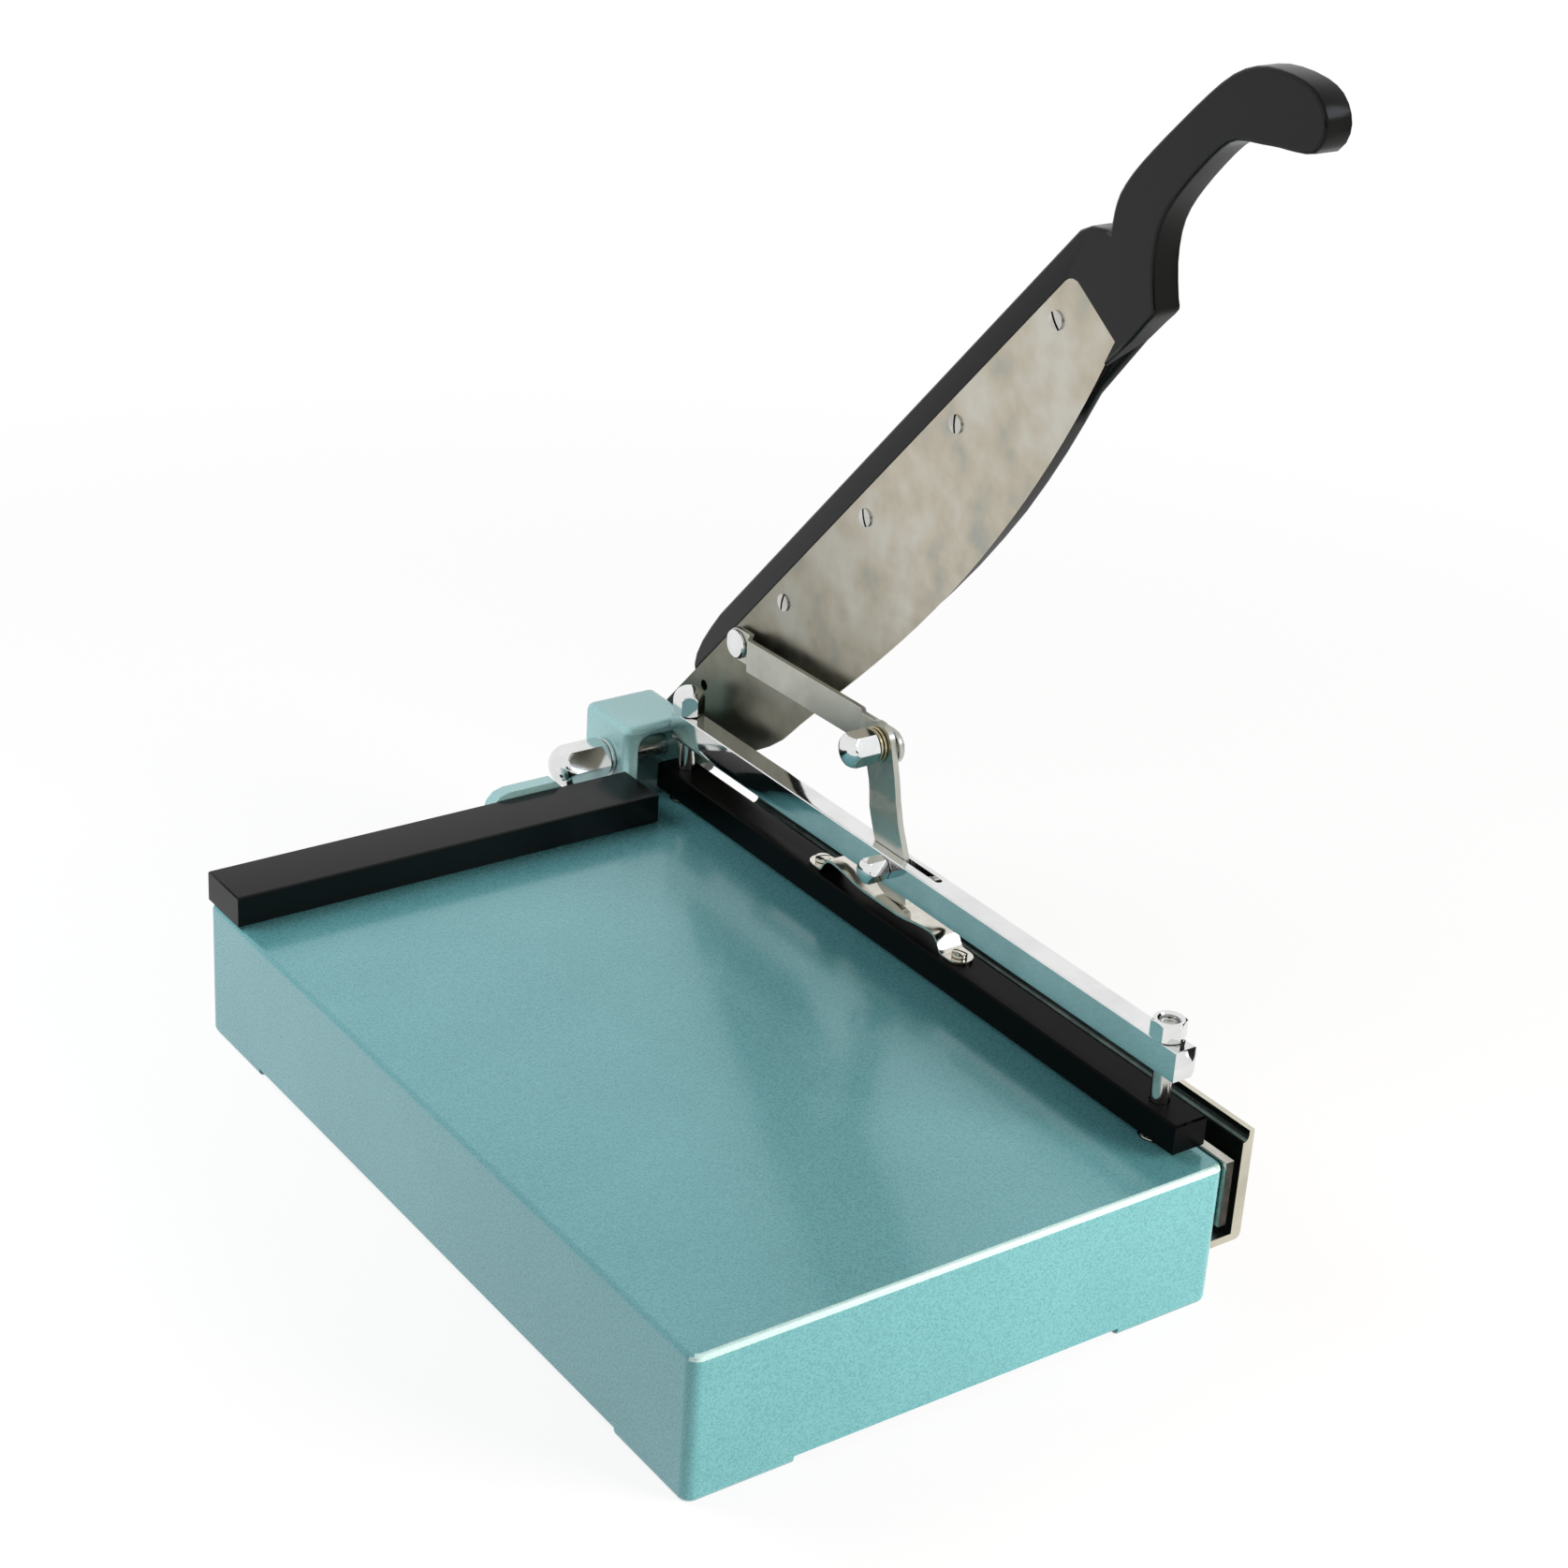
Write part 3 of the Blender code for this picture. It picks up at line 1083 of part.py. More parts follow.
def riser_outline():
    # A strap from the knee eye past the pin, in Y and Z. Its lower end is the cam: from heel to nose
    # the radius grows, so that swinging the strap upright pushes the leaf spring down
    pin = np.array((RISER_PIN_Y, RISER_PIN_Z))
    knee = np.array((KNEE_Y, KNEE_Z))
    length = np.linalg.norm(knee - pin)
    up = (knee - pin) / length
    side = np.array((up[1], -up[0]))
    heading = math.atan2(up[1], up[0])

    def edge(shares):
        return [tuple(pin + up * length * a + side * RISER_HALF_WIDTH * b) for a, b in shares]

    sweep = math.pi / 2 * RISER_EYE_SHARE
    eye = arc(knee, RISER_EYE_RADIUS, heading - sweep, heading + sweep, ROUND_SIDES // 2)
    nose = (CAM_HEEL + CAM_LIFT) / math.cos(CAM_NOSE_ANGLE - CAM_SWING)
    cam = []
    for share in np.linspace(1, 0, 8):
        angle = CAM_HEEL_ANGLE + share * (CAM_NOSE_ANGLE - CAM_HEEL_ANGLE)
        growth = max(0.0, angle / CAM_NOSE_ANGLE) ** 2
        radius = CAM_HEEL + (nose - CAM_HEEL) * growth
        cam.append((pin[0] - radius * math.sin(angle), pin[1] - radius * math.cos(angle)))
    return anticlockwise(edge(RISER_REAR_SHARES) + eye + edge(RISER_FRONT_SHARES) + cam)


def make_riser(looks, parent):
    holes = [circle((RISER_PIN_Y, RISER_PIN_Z), RISER_PIN_RADIUS + RUNNING_GAP, ROUND_SIDES),
             circle((KNEE_Y, KNEE_Z), KNEE_PIN_RADIUS + SEAT_GAP, ROUND_SIDES)]
    mesh = bmesh.new()
    layers = straight_layers(riser_outline(), RISER_INNER, RISER_OUTER)
    add_layers(mesh, layers, along_x, holes)
    start, stop = (RISER_PIN_Z + share * RISER_RISE for share in RISER_JOGGLE_SHARES)

    def step(spot):
        share = min(1.0, max(0.0, (spot.z - start) / (stop - start)))
        return spot + Vector((RISER_JOGGLE * share * share * (3 - 2 * share), 0, 0))

    bend(mesh, 2, np.linspace(start, stop, 5), step)
    finish(mesh, "riser_strap", looks["steel"], parent)


def make_knee(looks, parent):
    gap = SEAT_GAP
    face = RISER_INNER + RISER_JOGGLE - gap
    bore = KNEE_PIN_RADIUS + gap
    place = (KNEE_Y, KNEE_Z)
    for layer in (0, 1):
        x = face - layer * (KNEE_WASHER_THICKNESS + gap)
        edge = KNEE_WASHER_THICKNESS / 4
        wide = KNEE_WASHER_RADIUS - layer * KNEE_WASHER_THICKNESS / 2
        stations = ((bore, 0), (wide - edge, 0), (wide, edge), (wide, KNEE_WASHER_THICKNESS - edge),
                    (wide - edge, KNEE_WASHER_THICKNESS), (bore, KNEE_WASHER_THICKNESS))
        turned_piece(f"knee_washer_{layer + 1}", stations, ROUND_SIDES, (x, *place), (-1, 0, 0),
                     looks["brass"], parent)

    nut_face = face - 2 * (KNEE_WASHER_THICKNESS + gap)
    bore_depth = KNEE_CAP_HEX
    cap_nut("knee_cap_nut", KNEE_CAP_FLATS, KNEE_CAP_HEX, KNEE_CAP_DOME, bore, bore_depth,
            (nut_face, *place), (-1, 0, 0), looks["chrome"], parent)
    start = nut_face - bore_depth + gap
    shoulder = LINK_EYE_INNER + LINK_THICKNESS + RUNNING_GAP
    top = shoulder + KNEE_HEAD_HEIGHT
    stations = ((0, start), (KNEE_PIN_RADIUS, start), (KNEE_PIN_RADIUS, shoulder),
                (KNEE_HEAD_RADIUS, shoulder), (KNEE_HEAD_RADIUS, top - gap),
                (KNEE_HEAD_RADIUS - gap, top), (0, top))
    turned_piece("knee_stud", stations, ROUND_SIDES, (0, *place), (1, 0, 0), looks["steel"], parent)


# Clamp group

def make_beam(looks):
    low = (CLAMP_X - BEAM_WIDTH / 2, FRONT + BEAM_FRONT_INSET)
    high = (CLAMP_X + BEAM_WIDTH / 2, BACK - BEAM_REAR_INSET)
    quarter = math.pi / 2
    radius = BEAM_WIDTH / 2
    points = [low, (high[0], low[1])]
    points += arc((CLAMP_X, high[1] - radius), radius, 0, 2 * quarter, 10)
    outline = anticlockwise(points)
    slot_half = RISER_THICKNESS / 2 + RUNNING_GAP
    slot_x = (RISER_INNER + RISER_OUTER) / 2
    slot_low = (slot_x - slot_half, RISER_PIN_Y - BEAM_SLOT_FRONT)
    slot_high = (slot_x + slot_half, RISER_PIN_Y + BEAM_SLOT_REAR)
    window = rounded_box(slot_low, slot_high, slot_half * BEAM_SLOT_CORNER_SHARE, 2)
    holes = [window]
    for y in POSTS_Y:
        holes.append(circle((CLAMP_X, y), POST_RADIUS + SEAT_GAP, ROUND_SIDES))
    mesh = bmesh.new()
    add_layers(mesh, chamfered_layers(outline, BEAM_LOW, BEAM_TOP, BEAM_CHAMFER), along_z, holes)
    beam = finish(mesh, "clamp_beam", looks["chrome"])

    bores = bmesh.new()
    for y, z, radius, start in beam_pins():
        add_rod(bores, (0, y, z), (1, 0, 0), radius + SEAT_GAP, start, high[0] + OVERRUN)
    cut_away(beam, bores, "beam_bore_cutter")

    for end, y in zip(("front", "rear"), POSTS_Y):
        bottom = TABLE - POST_ENGAGEMENT + SEAT_GAP
        top = BEAM_TOP + POST_TOP_PROUD
        chamfer = BEAM_CHAMFER
        stations = ((0, bottom), (POST_RADIUS, bottom), (POST_RADIUS, top - chamfer),
                    (POST_RADIUS - chamfer, top), (0, top))
        turned_piece(f"guide_post_{end}", stations, ROUND_SIDES, (CLAMP_X, y, 0), (0, 0, 1), looks["steel"])

    bore = POST_RADIUS + SEAT_GAP
    seat = BEAM_TOP + SEAT_GAP
    hex_nut("front_post_nut", POST_NUT_FLATS, POST_NUT_HEIGHT, bore,
            (CLAMP_X, POSTS_Y[0], seat), (0, 0, 1), looks["chrome"])
    cap_nut("rear_post_cap_nut", POST_NUT_FLATS, POST_CAP_HEX, POST_CAP_DOME, bore,
            POST_TOP_PROUD + SEAT_GAP, (CLAMP_X, POSTS_Y[1], seat), (0, 0, 1), looks["chrome"])


def beam_pins():
    # Place, radius and left end of each cross bore: the riser's goes right through, the other is blind
    blind = RISER_INNER - RUNNING_GAP - BEAM_PIN_SEAT
    return (
        (RISER_PIN_Y, RISER_PIN_Z, RISER_PIN_RADIUS, CLAMP_X - BEAM_WIDTH / 2 - OVERRUN),
        (RISER_PIN_Y - BEAM_PIN_FORWARD, BEAM_TOP - BEAM_HEIGHT / 3, BEAM_PIN_RADIUS, blind),
    )


def make_beam_pins(looks):
    left = CLAMP_X - BEAM_WIDTH / 2
    right = CLAMP_X + BEAM_WIDTH / 2
    nut_face = left - SEAT_GAP
    bore = RISER_PIN_RADIUS + SEAT_GAP
    cap_nut("riser_cap_nut", RISER_CAP_FLATS, RISER_CAP_HEX, RISER_CAP_DOME, bore, RISER_CAP_HEX,
            (nut_face, RISER_PIN_Y, RISER_PIN_Z), (-1, 0, 0), looks["chrome"])
    mesh = bmesh.new()
    start = nut_face - RISER_CAP_HEX + SEAT_GAP
    add_rod(mesh, (0, RISER_PIN_Y, RISER_PIN_Z), (1, 0, 0), RISER_PIN_RADIUS, start, right, ROUND_SIDES)
    finish(mesh, "riser_pin", looks["steel"])
    mesh = bmesh.new()
    y, z, radius, start = beam_pins()[1]
    add_rod(mesh, (0, y, z), (1, 0, 0), radius, start + SEAT_GAP, right, ROUND_SIDES)
    finish(mesh, "beam_cross_pin", looks["steel"])


def make_clamp_bar(looks, parent):
    low = (CLAMP_X - CLAMP_WIDTH / 2, FRONT + CLAMP_FRONT_INSET)
    high = (CLAMP_X + CLAMP_WIDTH / 2, BACK - CLAMP_REAR_INSET)
    outline = anticlockwise((low, (high[0], low[1]), high, (low[0], high[1])))
    holes = [circle((CLAMP_X, y), POST_RADIUS + CLAMP_HOLE_GAP, ROUND_SIDES) for y in POSTS_Y]
    mesh = bmesh.new()
    add_layers(mesh, chamfered_layers(outline, CLAMP_LOW, CLAMP_TOP, CLAMP_CHAMFER), along_z, holes)
    bar = finish(mesh, "clamp_bar", looks["black"], parent)
    tapped = bmesh.new()
    for y in leaf_screw_rows():
        add_rod(tapped, (CLAMP_X, y, CLAMP_TOP), (0, 0, -1), LEAF_SCREW_RADIUS + SEAT_GAP,
                -OVERRUN, LEAF_SCREW_GRIP + SEAT_GAP)
    cut_away(bar, tapped, "clamp_tapped_hole_cutter")


def leaf_screw_rows():
    reach = LEAF_LENGTH / 2 - LEAF_SCREW_INSET
    return (RISER_PIN_Y - reach, RISER_PIN_Y + reach)


def make_leaf_spring(looks, parent):
    # A strip with round ends and flat feet on the bar, humped beside them and dipped under the cam
    half = LEAF_WIDTH / 2
    start = (CLAMP_X, RISER_PIN_Y - LEAF_LENGTH / 2 + half)
    stop = (CLAMP_X, RISER_PIN_Y + LEAF_LENGTH / 2 - half)
    holes = [circle((CLAMP_X, y), LEAF_SCREW_RADIUS + SEAT_GAP, SMALL_SIDES) for y in leaf_screw_rows()]
    seat = LEAF_SEAT
    mesh = bmesh.new()
    add_layers(mesh, straight_layers(slot(start, stop, half), seat, seat + LEAF_THICKNESS), along_z, holes)
    reaches, lifts = np.array(LEAF_SHARES).T

    def arch(spot):
        share = abs(spot.y - RISER_PIN_Y) / (LEAF_LENGTH / 2)
        lift = LEAF_HUMP * np.interp(share, reaches, lifts)
        return Vector((spot.x, spot.y, spot.z + lift))

    cuts = [RISER_PIN_Y + side * share * LEAF_LENGTH / 2 for side in (-1, 1) for share in reaches[1:]]
    bend(mesh, 1, cuts, arch)
    finish(mesh, "leaf_spring", looks["chrome"], parent)

    for end, y in zip(("front", "rear"), leaf_screw_rows()):
        top = seat + LEAF_THICKNESS + SEAT_GAP
        head = top + LEAF_SCREW_HEAD_HEIGHT
        tip = CLAMP_TOP - LEAF_SCREW_GRIP
        wide = LEAF_SCREW_HEAD_RADIUS
        stations = ((0, tip), (LEAF_SCREW_RADIUS, tip), (LEAF_SCREW_RADIUS, top), (wide, top),
                    (wide, head - SEAT_GAP), (wide * HEAD_CROWN_SHARE, head), (0, head))
        turned_piece(f"leaf_spring_screw_{end}", stations, SMALL_SIDES, (CLAMP_X, y, 0), (0, 0, 1),
                     looks["brass"], parent)


def least_gap(spots):
    # Between points of the wire's middle line at least half a turn apart, less the wire's thickness
    places = np.array(spots)
    spans = np.linalg.norm(places[:, None] - places[None, :], axis=2)
    rows, columns = np.indices(spans.shape)
    return spans[np.abs(rows - columns) > SPRING_STEPS / 2].min() - SPRING_WIRE


def make_return_springs(looks):
    # Round wire springs in wells under the clamp bar, each turn climbing at a steady rate
    bottom = TABLE - SPRING_WELL_DEPTH + SEAT_GAP + SPRING_WIRE / 2
    top = CLAMP_LOW - SEAT_GAP - SPRING_WIRE / 2
    count = SPRING_TURNS * SPRING_STEPS
    pitch = (top - bottom) / SPRING_TURNS
    slope = math.atan2(pitch, math.tau * SPRING_RADIUS)
    for end, y in zip(("front", "rear"), POSTS_Y):
        mesh = bmesh.new()
        rings = []
        spots = []
        for step in range(count + 1):
            angle = math.tau * step / SPRING_STEPS
            height = bottom + (top - bottom) * step / count
            outward = Vector((math.cos(angle), math.sin(angle), 0))
            upward = Vector((math.sin(angle) * math.sin(slope), -math.cos(angle) * math.sin(slope),
                             math.cos(slope)))
            centre = Vector((CLAMP_X, y, height)) + outward * SPRING_RADIUS
            spots.append(centre)
            ring = []
            for i in range(SPRING_SIDES):
                turn = math.tau * i / SPRING_SIDES
                offset = outward * math.cos(turn) + upward * math.sin(turn)
                ring.append(mesh.verts.new(centre + offset * SPRING_WIRE / 2))
            rings.append(ring)
        for lower, upper in zip(rings, rings[1:]):
            for i, a in enumerate(lower):
                following = (i + 1) % SPRING_SIDES
                mesh.faces.new((a, lower[following], upper[following], upper[i]))
        mesh.faces.new(rings[0])
        mesh.faces.new(rings[-1])
        finish(mesh, f"return_spring_{end}", looks["steel"])
        print(f"return_spring_{end}: least gap between turns", least_gap(spots), "m")


def clear_scene():
    for piece in list(bpy.data.objects):
        bpy.data.objects.remove(piece, do_unlink=True)


def main():
    clear_scene()
    looks = make_materials()
    make_base(looks)
    make_bed_knife(looks)
    make_fence(looks)
    make_stop_rail(looks)
    make_bracket(looks)
    make_pivot(looks)

    lever = joint_empty("lever_joint", (BLADE_INNER, PIVOT_Y, PIVOT_Z))
    make_lever(looks, lever)
    make_blade(looks, lever)
    make_link_bolt(looks, lever)
    link = joint_empty("link_joint", (LINK_INNER, *blade_point(LINK_BOLT_PLACE, -BLADE_SCREW_LINE)), lever)
    make_link(looks, link)
    riser = joint_empty("riser_joint", (RISER_INNER, RISER_PIN_Y, RISER_PIN_Z))
    make_riser(looks, riser)
    make_knee(looks, riser)

    make_beam(looks)
    make_beam_pins(looks)
    clamp = joint_empty("clamp_joint", (CLAMP_X, MIDDLE, CLAMP_LOW))
    make_clamp_bar(looks, clamp)
    make_leaf_spring(looks, clamp)
    make_return_springs(looks)


main()
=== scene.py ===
# Sample strip cutter: materials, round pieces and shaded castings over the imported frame
# Lengths are in metres. +Z is up, the user stands at -Y, and the blade is at +X
import json
import math

import bmesh
import bpy
import numpy as np
from mathutils import Matrix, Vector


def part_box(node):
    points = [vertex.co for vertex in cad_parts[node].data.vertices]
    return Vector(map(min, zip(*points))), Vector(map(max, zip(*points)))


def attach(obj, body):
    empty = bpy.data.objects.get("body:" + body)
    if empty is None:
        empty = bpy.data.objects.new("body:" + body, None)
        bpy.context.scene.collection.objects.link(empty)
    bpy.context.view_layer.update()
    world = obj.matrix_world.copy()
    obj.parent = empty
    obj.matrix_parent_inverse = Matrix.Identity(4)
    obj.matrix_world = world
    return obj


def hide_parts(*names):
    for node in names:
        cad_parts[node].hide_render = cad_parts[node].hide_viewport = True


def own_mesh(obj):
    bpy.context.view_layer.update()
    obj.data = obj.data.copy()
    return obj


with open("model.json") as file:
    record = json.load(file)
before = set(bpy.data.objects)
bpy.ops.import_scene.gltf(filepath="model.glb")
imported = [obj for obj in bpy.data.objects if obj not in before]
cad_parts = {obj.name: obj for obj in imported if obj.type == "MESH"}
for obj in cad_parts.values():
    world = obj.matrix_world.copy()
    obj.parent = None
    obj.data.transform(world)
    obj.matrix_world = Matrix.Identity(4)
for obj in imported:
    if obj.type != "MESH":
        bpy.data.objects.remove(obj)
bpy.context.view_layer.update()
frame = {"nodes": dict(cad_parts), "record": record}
nodes = frame["nodes"]
bodyOf = {node: body for body, names in frame["record"]["behaviour"]["bodies"].items() for node in names}
print("frame loaded:", len(nodes), "nodes")


# Materials. Patterns read Object coordinates, and their sizes are given in millimetres

millimetre = 0.001
noiseSpan = {"From Min": 0.3, "From Max": 0.7}  # most of a noise's values lie between these


def hexColour(code):
    # sRGB hex to linear: straight below 0.04045, a power of 2.4 above it
    srgb = np.array([int(code[i:i + 2], 16) for i in (1, 3, 5)]) / 255
    linear = np.where(srgb <= 0.04045, srgb / 12.92, ((srgb + 0.055) / 1.055) ** 2.4)
    return (*linear, 1.0)


def setSockets(tree, node, inputs):
    # Each input, called by its name or number, takes a value or a link from another node
    for key, value in inputs.items():
        named = [socket for socket in node.inputs if socket.enabled and socket.name == key]
        socket = named[0] if named else node.inputs[key]
        if isinstance(value, bpy.types.NodeSocket):
            tree.links.new(value, socket)
        else:
            socket.default_value = value


def addNode(tree, kind, inputs, stops=(), **settings):
    # One node with its settings and links. stops are the places and colours of a colour ramp
    node = tree.nodes.new(kind)
    for key, value in settings.items():
        setattr(node, key, value)
    setSockets(tree, node, inputs)
    for number, (place, colour) in enumerate(stops):
        elements = node.color_ramp.elements
        element = elements[number] if number < len(elements) else elements.new(place)
        element.position = place
        element.color = hexColour(colour)
    return node


def newMaterial(name, evenSockets):
    # What is the same all over the surface is set on the shader's own sockets
    material = bpy.data.materials.new(name)
    material.use_nodes = True
    tree = material.node_tree
    shader = tree.nodes["Principled BSDF"]
    setSockets(tree, shader, evenSockets)
    return material, tree, shader


# Hammer enamel's grain is about a millimetre, and the spray gun leaves clouds a few centimetres wide
enamelSizes = dict(grain=0.8, cloud=55.0, grainShare=0.84, cloudShare=0.16, relief=0.00004)


def makeEnamel(name, light, dark, roughness):
    # Hammer enamel: tone = grainShare * grain + cloudShare * cloud, and the grain breaks the gloss
    material, tree, shader = newMaterial(name, {
        "Metallic": 0.3, "Specular IOR Level": 0.3, "Coat Weight": 0.7, "Coat Roughness": 0.13,
    })
    place = addNode(tree, "ShaderNodeTexCoord", {}).outputs["Object"]
    grain = addNode(tree, "ShaderNodeTexNoise", {
        "Vector": place, "Scale": 1 / (enamelSizes["grain"] * millimetre), "Detail": 3.0,
    }).outputs["Fac"]
    cloud = addNode(tree, "ShaderNodeTexNoise", {
        "Vector": place, "Scale": 1 / (enamelSizes["cloud"] * millimetre), "Detail": 2.0,
    }).outputs["Fac"]
    fine = addNode(tree, "ShaderNodeMath", {
        0: grain, 1: enamelSizes["grainShare"],
    }, operation="MULTIPLY").outputs["Value"]
    tone = addNode(tree, "ShaderNodeMath", {
        0: cloud, 1: enamelSizes["cloudShare"], 2: fine,
    }, operation="MULTIPLY_ADD").outputs["Value"]
    tones = (0.30, dark), (0.70, light)
    colour = addNode(tree, "ShaderNodeValToRGB", {"Fac": tone}, tones).outputs["Color"]
    gloss = addNode(tree, "ShaderNodeMapRange", {
        **noiseSpan, "Value": grain, "To Min": roughness - 0.05, "To Max": roughness + 0.06,
    }).outputs["Result"]
    bump = addNode(tree, "ShaderNodeBump", {
        "Height": grain, "Distance": enamelSizes["relief"], "Strength": 0.35,
    }).outputs["Normal"]
    setSockets(tree, shader, {"Base Color": colour, "Roughness": gloss, "Normal": bump})
    return material


# Wiping leaves smears a few centimetres wide. The orange peel's lumps are 1 to 3 mm, as peel says
lacquerSizes = dict(smear=24.0, relief=0.00004)


def makeLacquer(name, colour, roughness, coat, peel, shine):
    # Lacquer: one flat colour whose gloss is smeared by handling and broken by orange peel
    material, tree, shader = newMaterial(name, {
        "Base Color": hexColour(colour), "Specular IOR Level": shine, "Coat Weight": coat,
        "Coat Roughness": 0.08,
    })
    place = addNode(tree, "ShaderNodeTexCoord", {}).outputs["Object"]
    orangePeel = addNode(tree, "ShaderNodeTexNoise", {
        "Vector": place, "Scale": 1 / (peel * millimetre), "Detail": 2.0,
    }).outputs["Fac"]
    smear = addNode(tree, "ShaderNodeTexNoise", {
        "Vector": place, "Scale": 1 / (lacquerSizes["smear"] * millimetre), "Detail": 3.0,
    }).outputs["Fac"]
    gloss = addNode(tree, "ShaderNodeMapRange", {
        **noiseSpan, "Value": smear, "To Min": roughness - 0.06, "To Max": roughness + 0.08,
    }).outputs["Result"]
    bump = addNode(tree, "ShaderNodeBump", {
        "Height": orangePeel, "Distance": lacquerSizes["relief"], "Strength": 0.35,
    }).outputs["Normal"]
    setSockets(tree, shader, {"Roughness": gloss, "Normal": bump})
    return material


# The lines of grinding and rolling are finer than 0.1 mm, and drawn this coarse so that they show
metalSizes = dict(line=0.35, relief=0.00001, lineGloss=0.03)


def makeMetal(name, light, dark, roughness, patch, stretch=(1, 1, 1), uneven=0.08):
    # Metal: patches change its tone and gloss, and fine lines run along the directions whose
    # stretch is small, as grinding, rolling or drawing leaves them
    material, tree, shader = newMaterial(name, {"Metallic": 1.0})
    place = addNode(tree, "ShaderNodeTexCoord", {}).outputs["Object"]
    cloud = addNode(tree, "ShaderNodeTexNoise", {
        "Vector": place, "Scale": 1 / (patch * millimetre), "Detail": 4.0, "Roughness": 0.6,
    }).outputs["Fac"]
    stretched = addNode(tree, "ShaderNodeMapping", {"Vector": place, "Scale": stretch}).outputs["Vector"]
    lines = addNode(tree, "ShaderNodeTexNoise", {
        "Vector": stretched, "Scale": 1 / (metalSizes["line"] * millimetre), "Detail": 2.0,
    }).outputs["Fac"]
    tones = (0.36, dark), (0.62, light)
    colour = addNode(tree, "ShaderNodeValToRGB", {"Fac": cloud}, tones).outputs["Color"]
    patchGloss = addNode(tree, "ShaderNodeMapRange", {
        **noiseSpan, "Value": cloud, "To Min": roughness + uneven, "To Max": roughness - uneven,
    }).outputs["Result"]
    lineGloss = addNode(tree, "ShaderNodeMapRange", {
        **noiseSpan, "Value": lines, "To Min": -metalSizes["lineGloss"], "To Max": metalSizes["lineGloss"],
    }).outputs["Result"]
    gloss = addNode(tree, "ShaderNodeMath", {0: patchGloss, 1: lineGloss}, operation="ADD").outputs["Value"]
    bump = addNode(tree, "ShaderNodeBump", {
        "Height": lines, "Distance": metalSizes["relief"], "Strength": 0.25,
    }).outputs["Normal"]
    setSockets(tree, shader, {"Base Color": colour, "Roughness": gloss, "Normal": bump})
    return material


# The grinding stone's lines are drawn coarser than they are here too. The pivot's place and the reach of
# the painted shade around it are in metres
bladeFinish = dict(
    blotch=26.0, line=0.5, stretch=(1, 0.06, 0.06), relief=0.00001, lineGloss=0.03,
    stops=((0.32, "#a9a9a0"), (0.46, "#bbb3a2"), (0.68, "#c6c3b8")),
    pivot=(0.1180, 0.1905, 0.0790), heelShade="#7e8682", fullShade=0.02, noShade=0.24,
)


def makeBladeSteel(name):
    # Tool steel: handling blotches choose between three tones, the grinding stone leaves lines, and
    # colour = tone * painted shade near the pivot, fading to the plain tone along the blade. The painted
    # shade stands in for darker reflections at the blade's heel
    material, tree, shader = newMaterial(name, {"Metallic": 1.0})
    place = addNode(tree, "ShaderNodeTexCoord", {}).outputs["Object"]
    blotch = addNode(tree, "ShaderNodeTexNoise", {
        "Vector": place, "Scale": 1 / (bladeFinish["blotch"] * millimetre), "Detail": 3.0, "Roughness": 0.55,
    }).outputs["Fac"]
    stretched = addNode(tree, "ShaderNodeMapping", {
        "Vector": place, "Scale": bladeFinish["stretch"],
    }).outputs["Vector"]
    lines = addNode(tree, "ShaderNodeTexNoise", {
        "Vector": stretched, "Scale": 1 / (bladeFinish["line"] * millimetre), "Detail": 2.0,
    }).outputs["Fac"]
    tone = addNode(tree, "ShaderNodeValToRGB", {"Fac": blotch}, bladeFinish["stops"]).outputs["Color"]
    # Painted shade: the blade's colour darkens towards the pivot, standing in for darker reflections there
    distance = addNode(tree, "ShaderNodeVectorMath", {
        0: place, 1: bladeFinish["pivot"],
    }, operation="DISTANCE").outputs["Value"]
    unshaded = addNode(tree, "ShaderNodeMapRange", {
        "Value": distance, "From Min": bladeFinish["fullShade"], "From Max": bladeFinish["noShade"],
    }).outputs["Result"]
    heelShade = addNode(tree, "ShaderNodeMix", {
        "Factor": unshaded, "A": hexColour(bladeFinish["heelShade"]), "B": hexColour("#ffffff"),
    }, data_type="RGBA").outputs[2]
    colour = addNode(tree, "ShaderNodeMix", {
        "Factor": 1.0, "A": tone, "B": heelShade,
    }, data_type="RGBA", blend_type="MULTIPLY").outputs[2]
    blotchGloss = addNode(tree, "ShaderNodeMapRange", {
        **noiseSpan, "Value": blotch, "To Min": 0.40, "To Max": 0.30,
    }).outputs["Result"]
    lineGloss = addNode(tree, "ShaderNodeMapRange", {
        **noiseSpan, "Value": lines, "To Min": -bladeFinish["lineGloss"], "To Max": bladeFinish["lineGloss"],
    }).outputs["Result"]
    gloss = addNode(tree, "ShaderNodeMath", {0: blotchGloss, 1: lineGloss}, operation="ADD").outputs["Value"]
    bump = addNode(tree, "ShaderNodeBump", {
        "Height": lines, "Distance": bladeFinish["relief"], "Strength": 0.3,
    }).outputs["Normal"]
    setSockets(tree, shader, {"Base Color": colour, "Roughness": gloss, "Normal": bump})
    return material


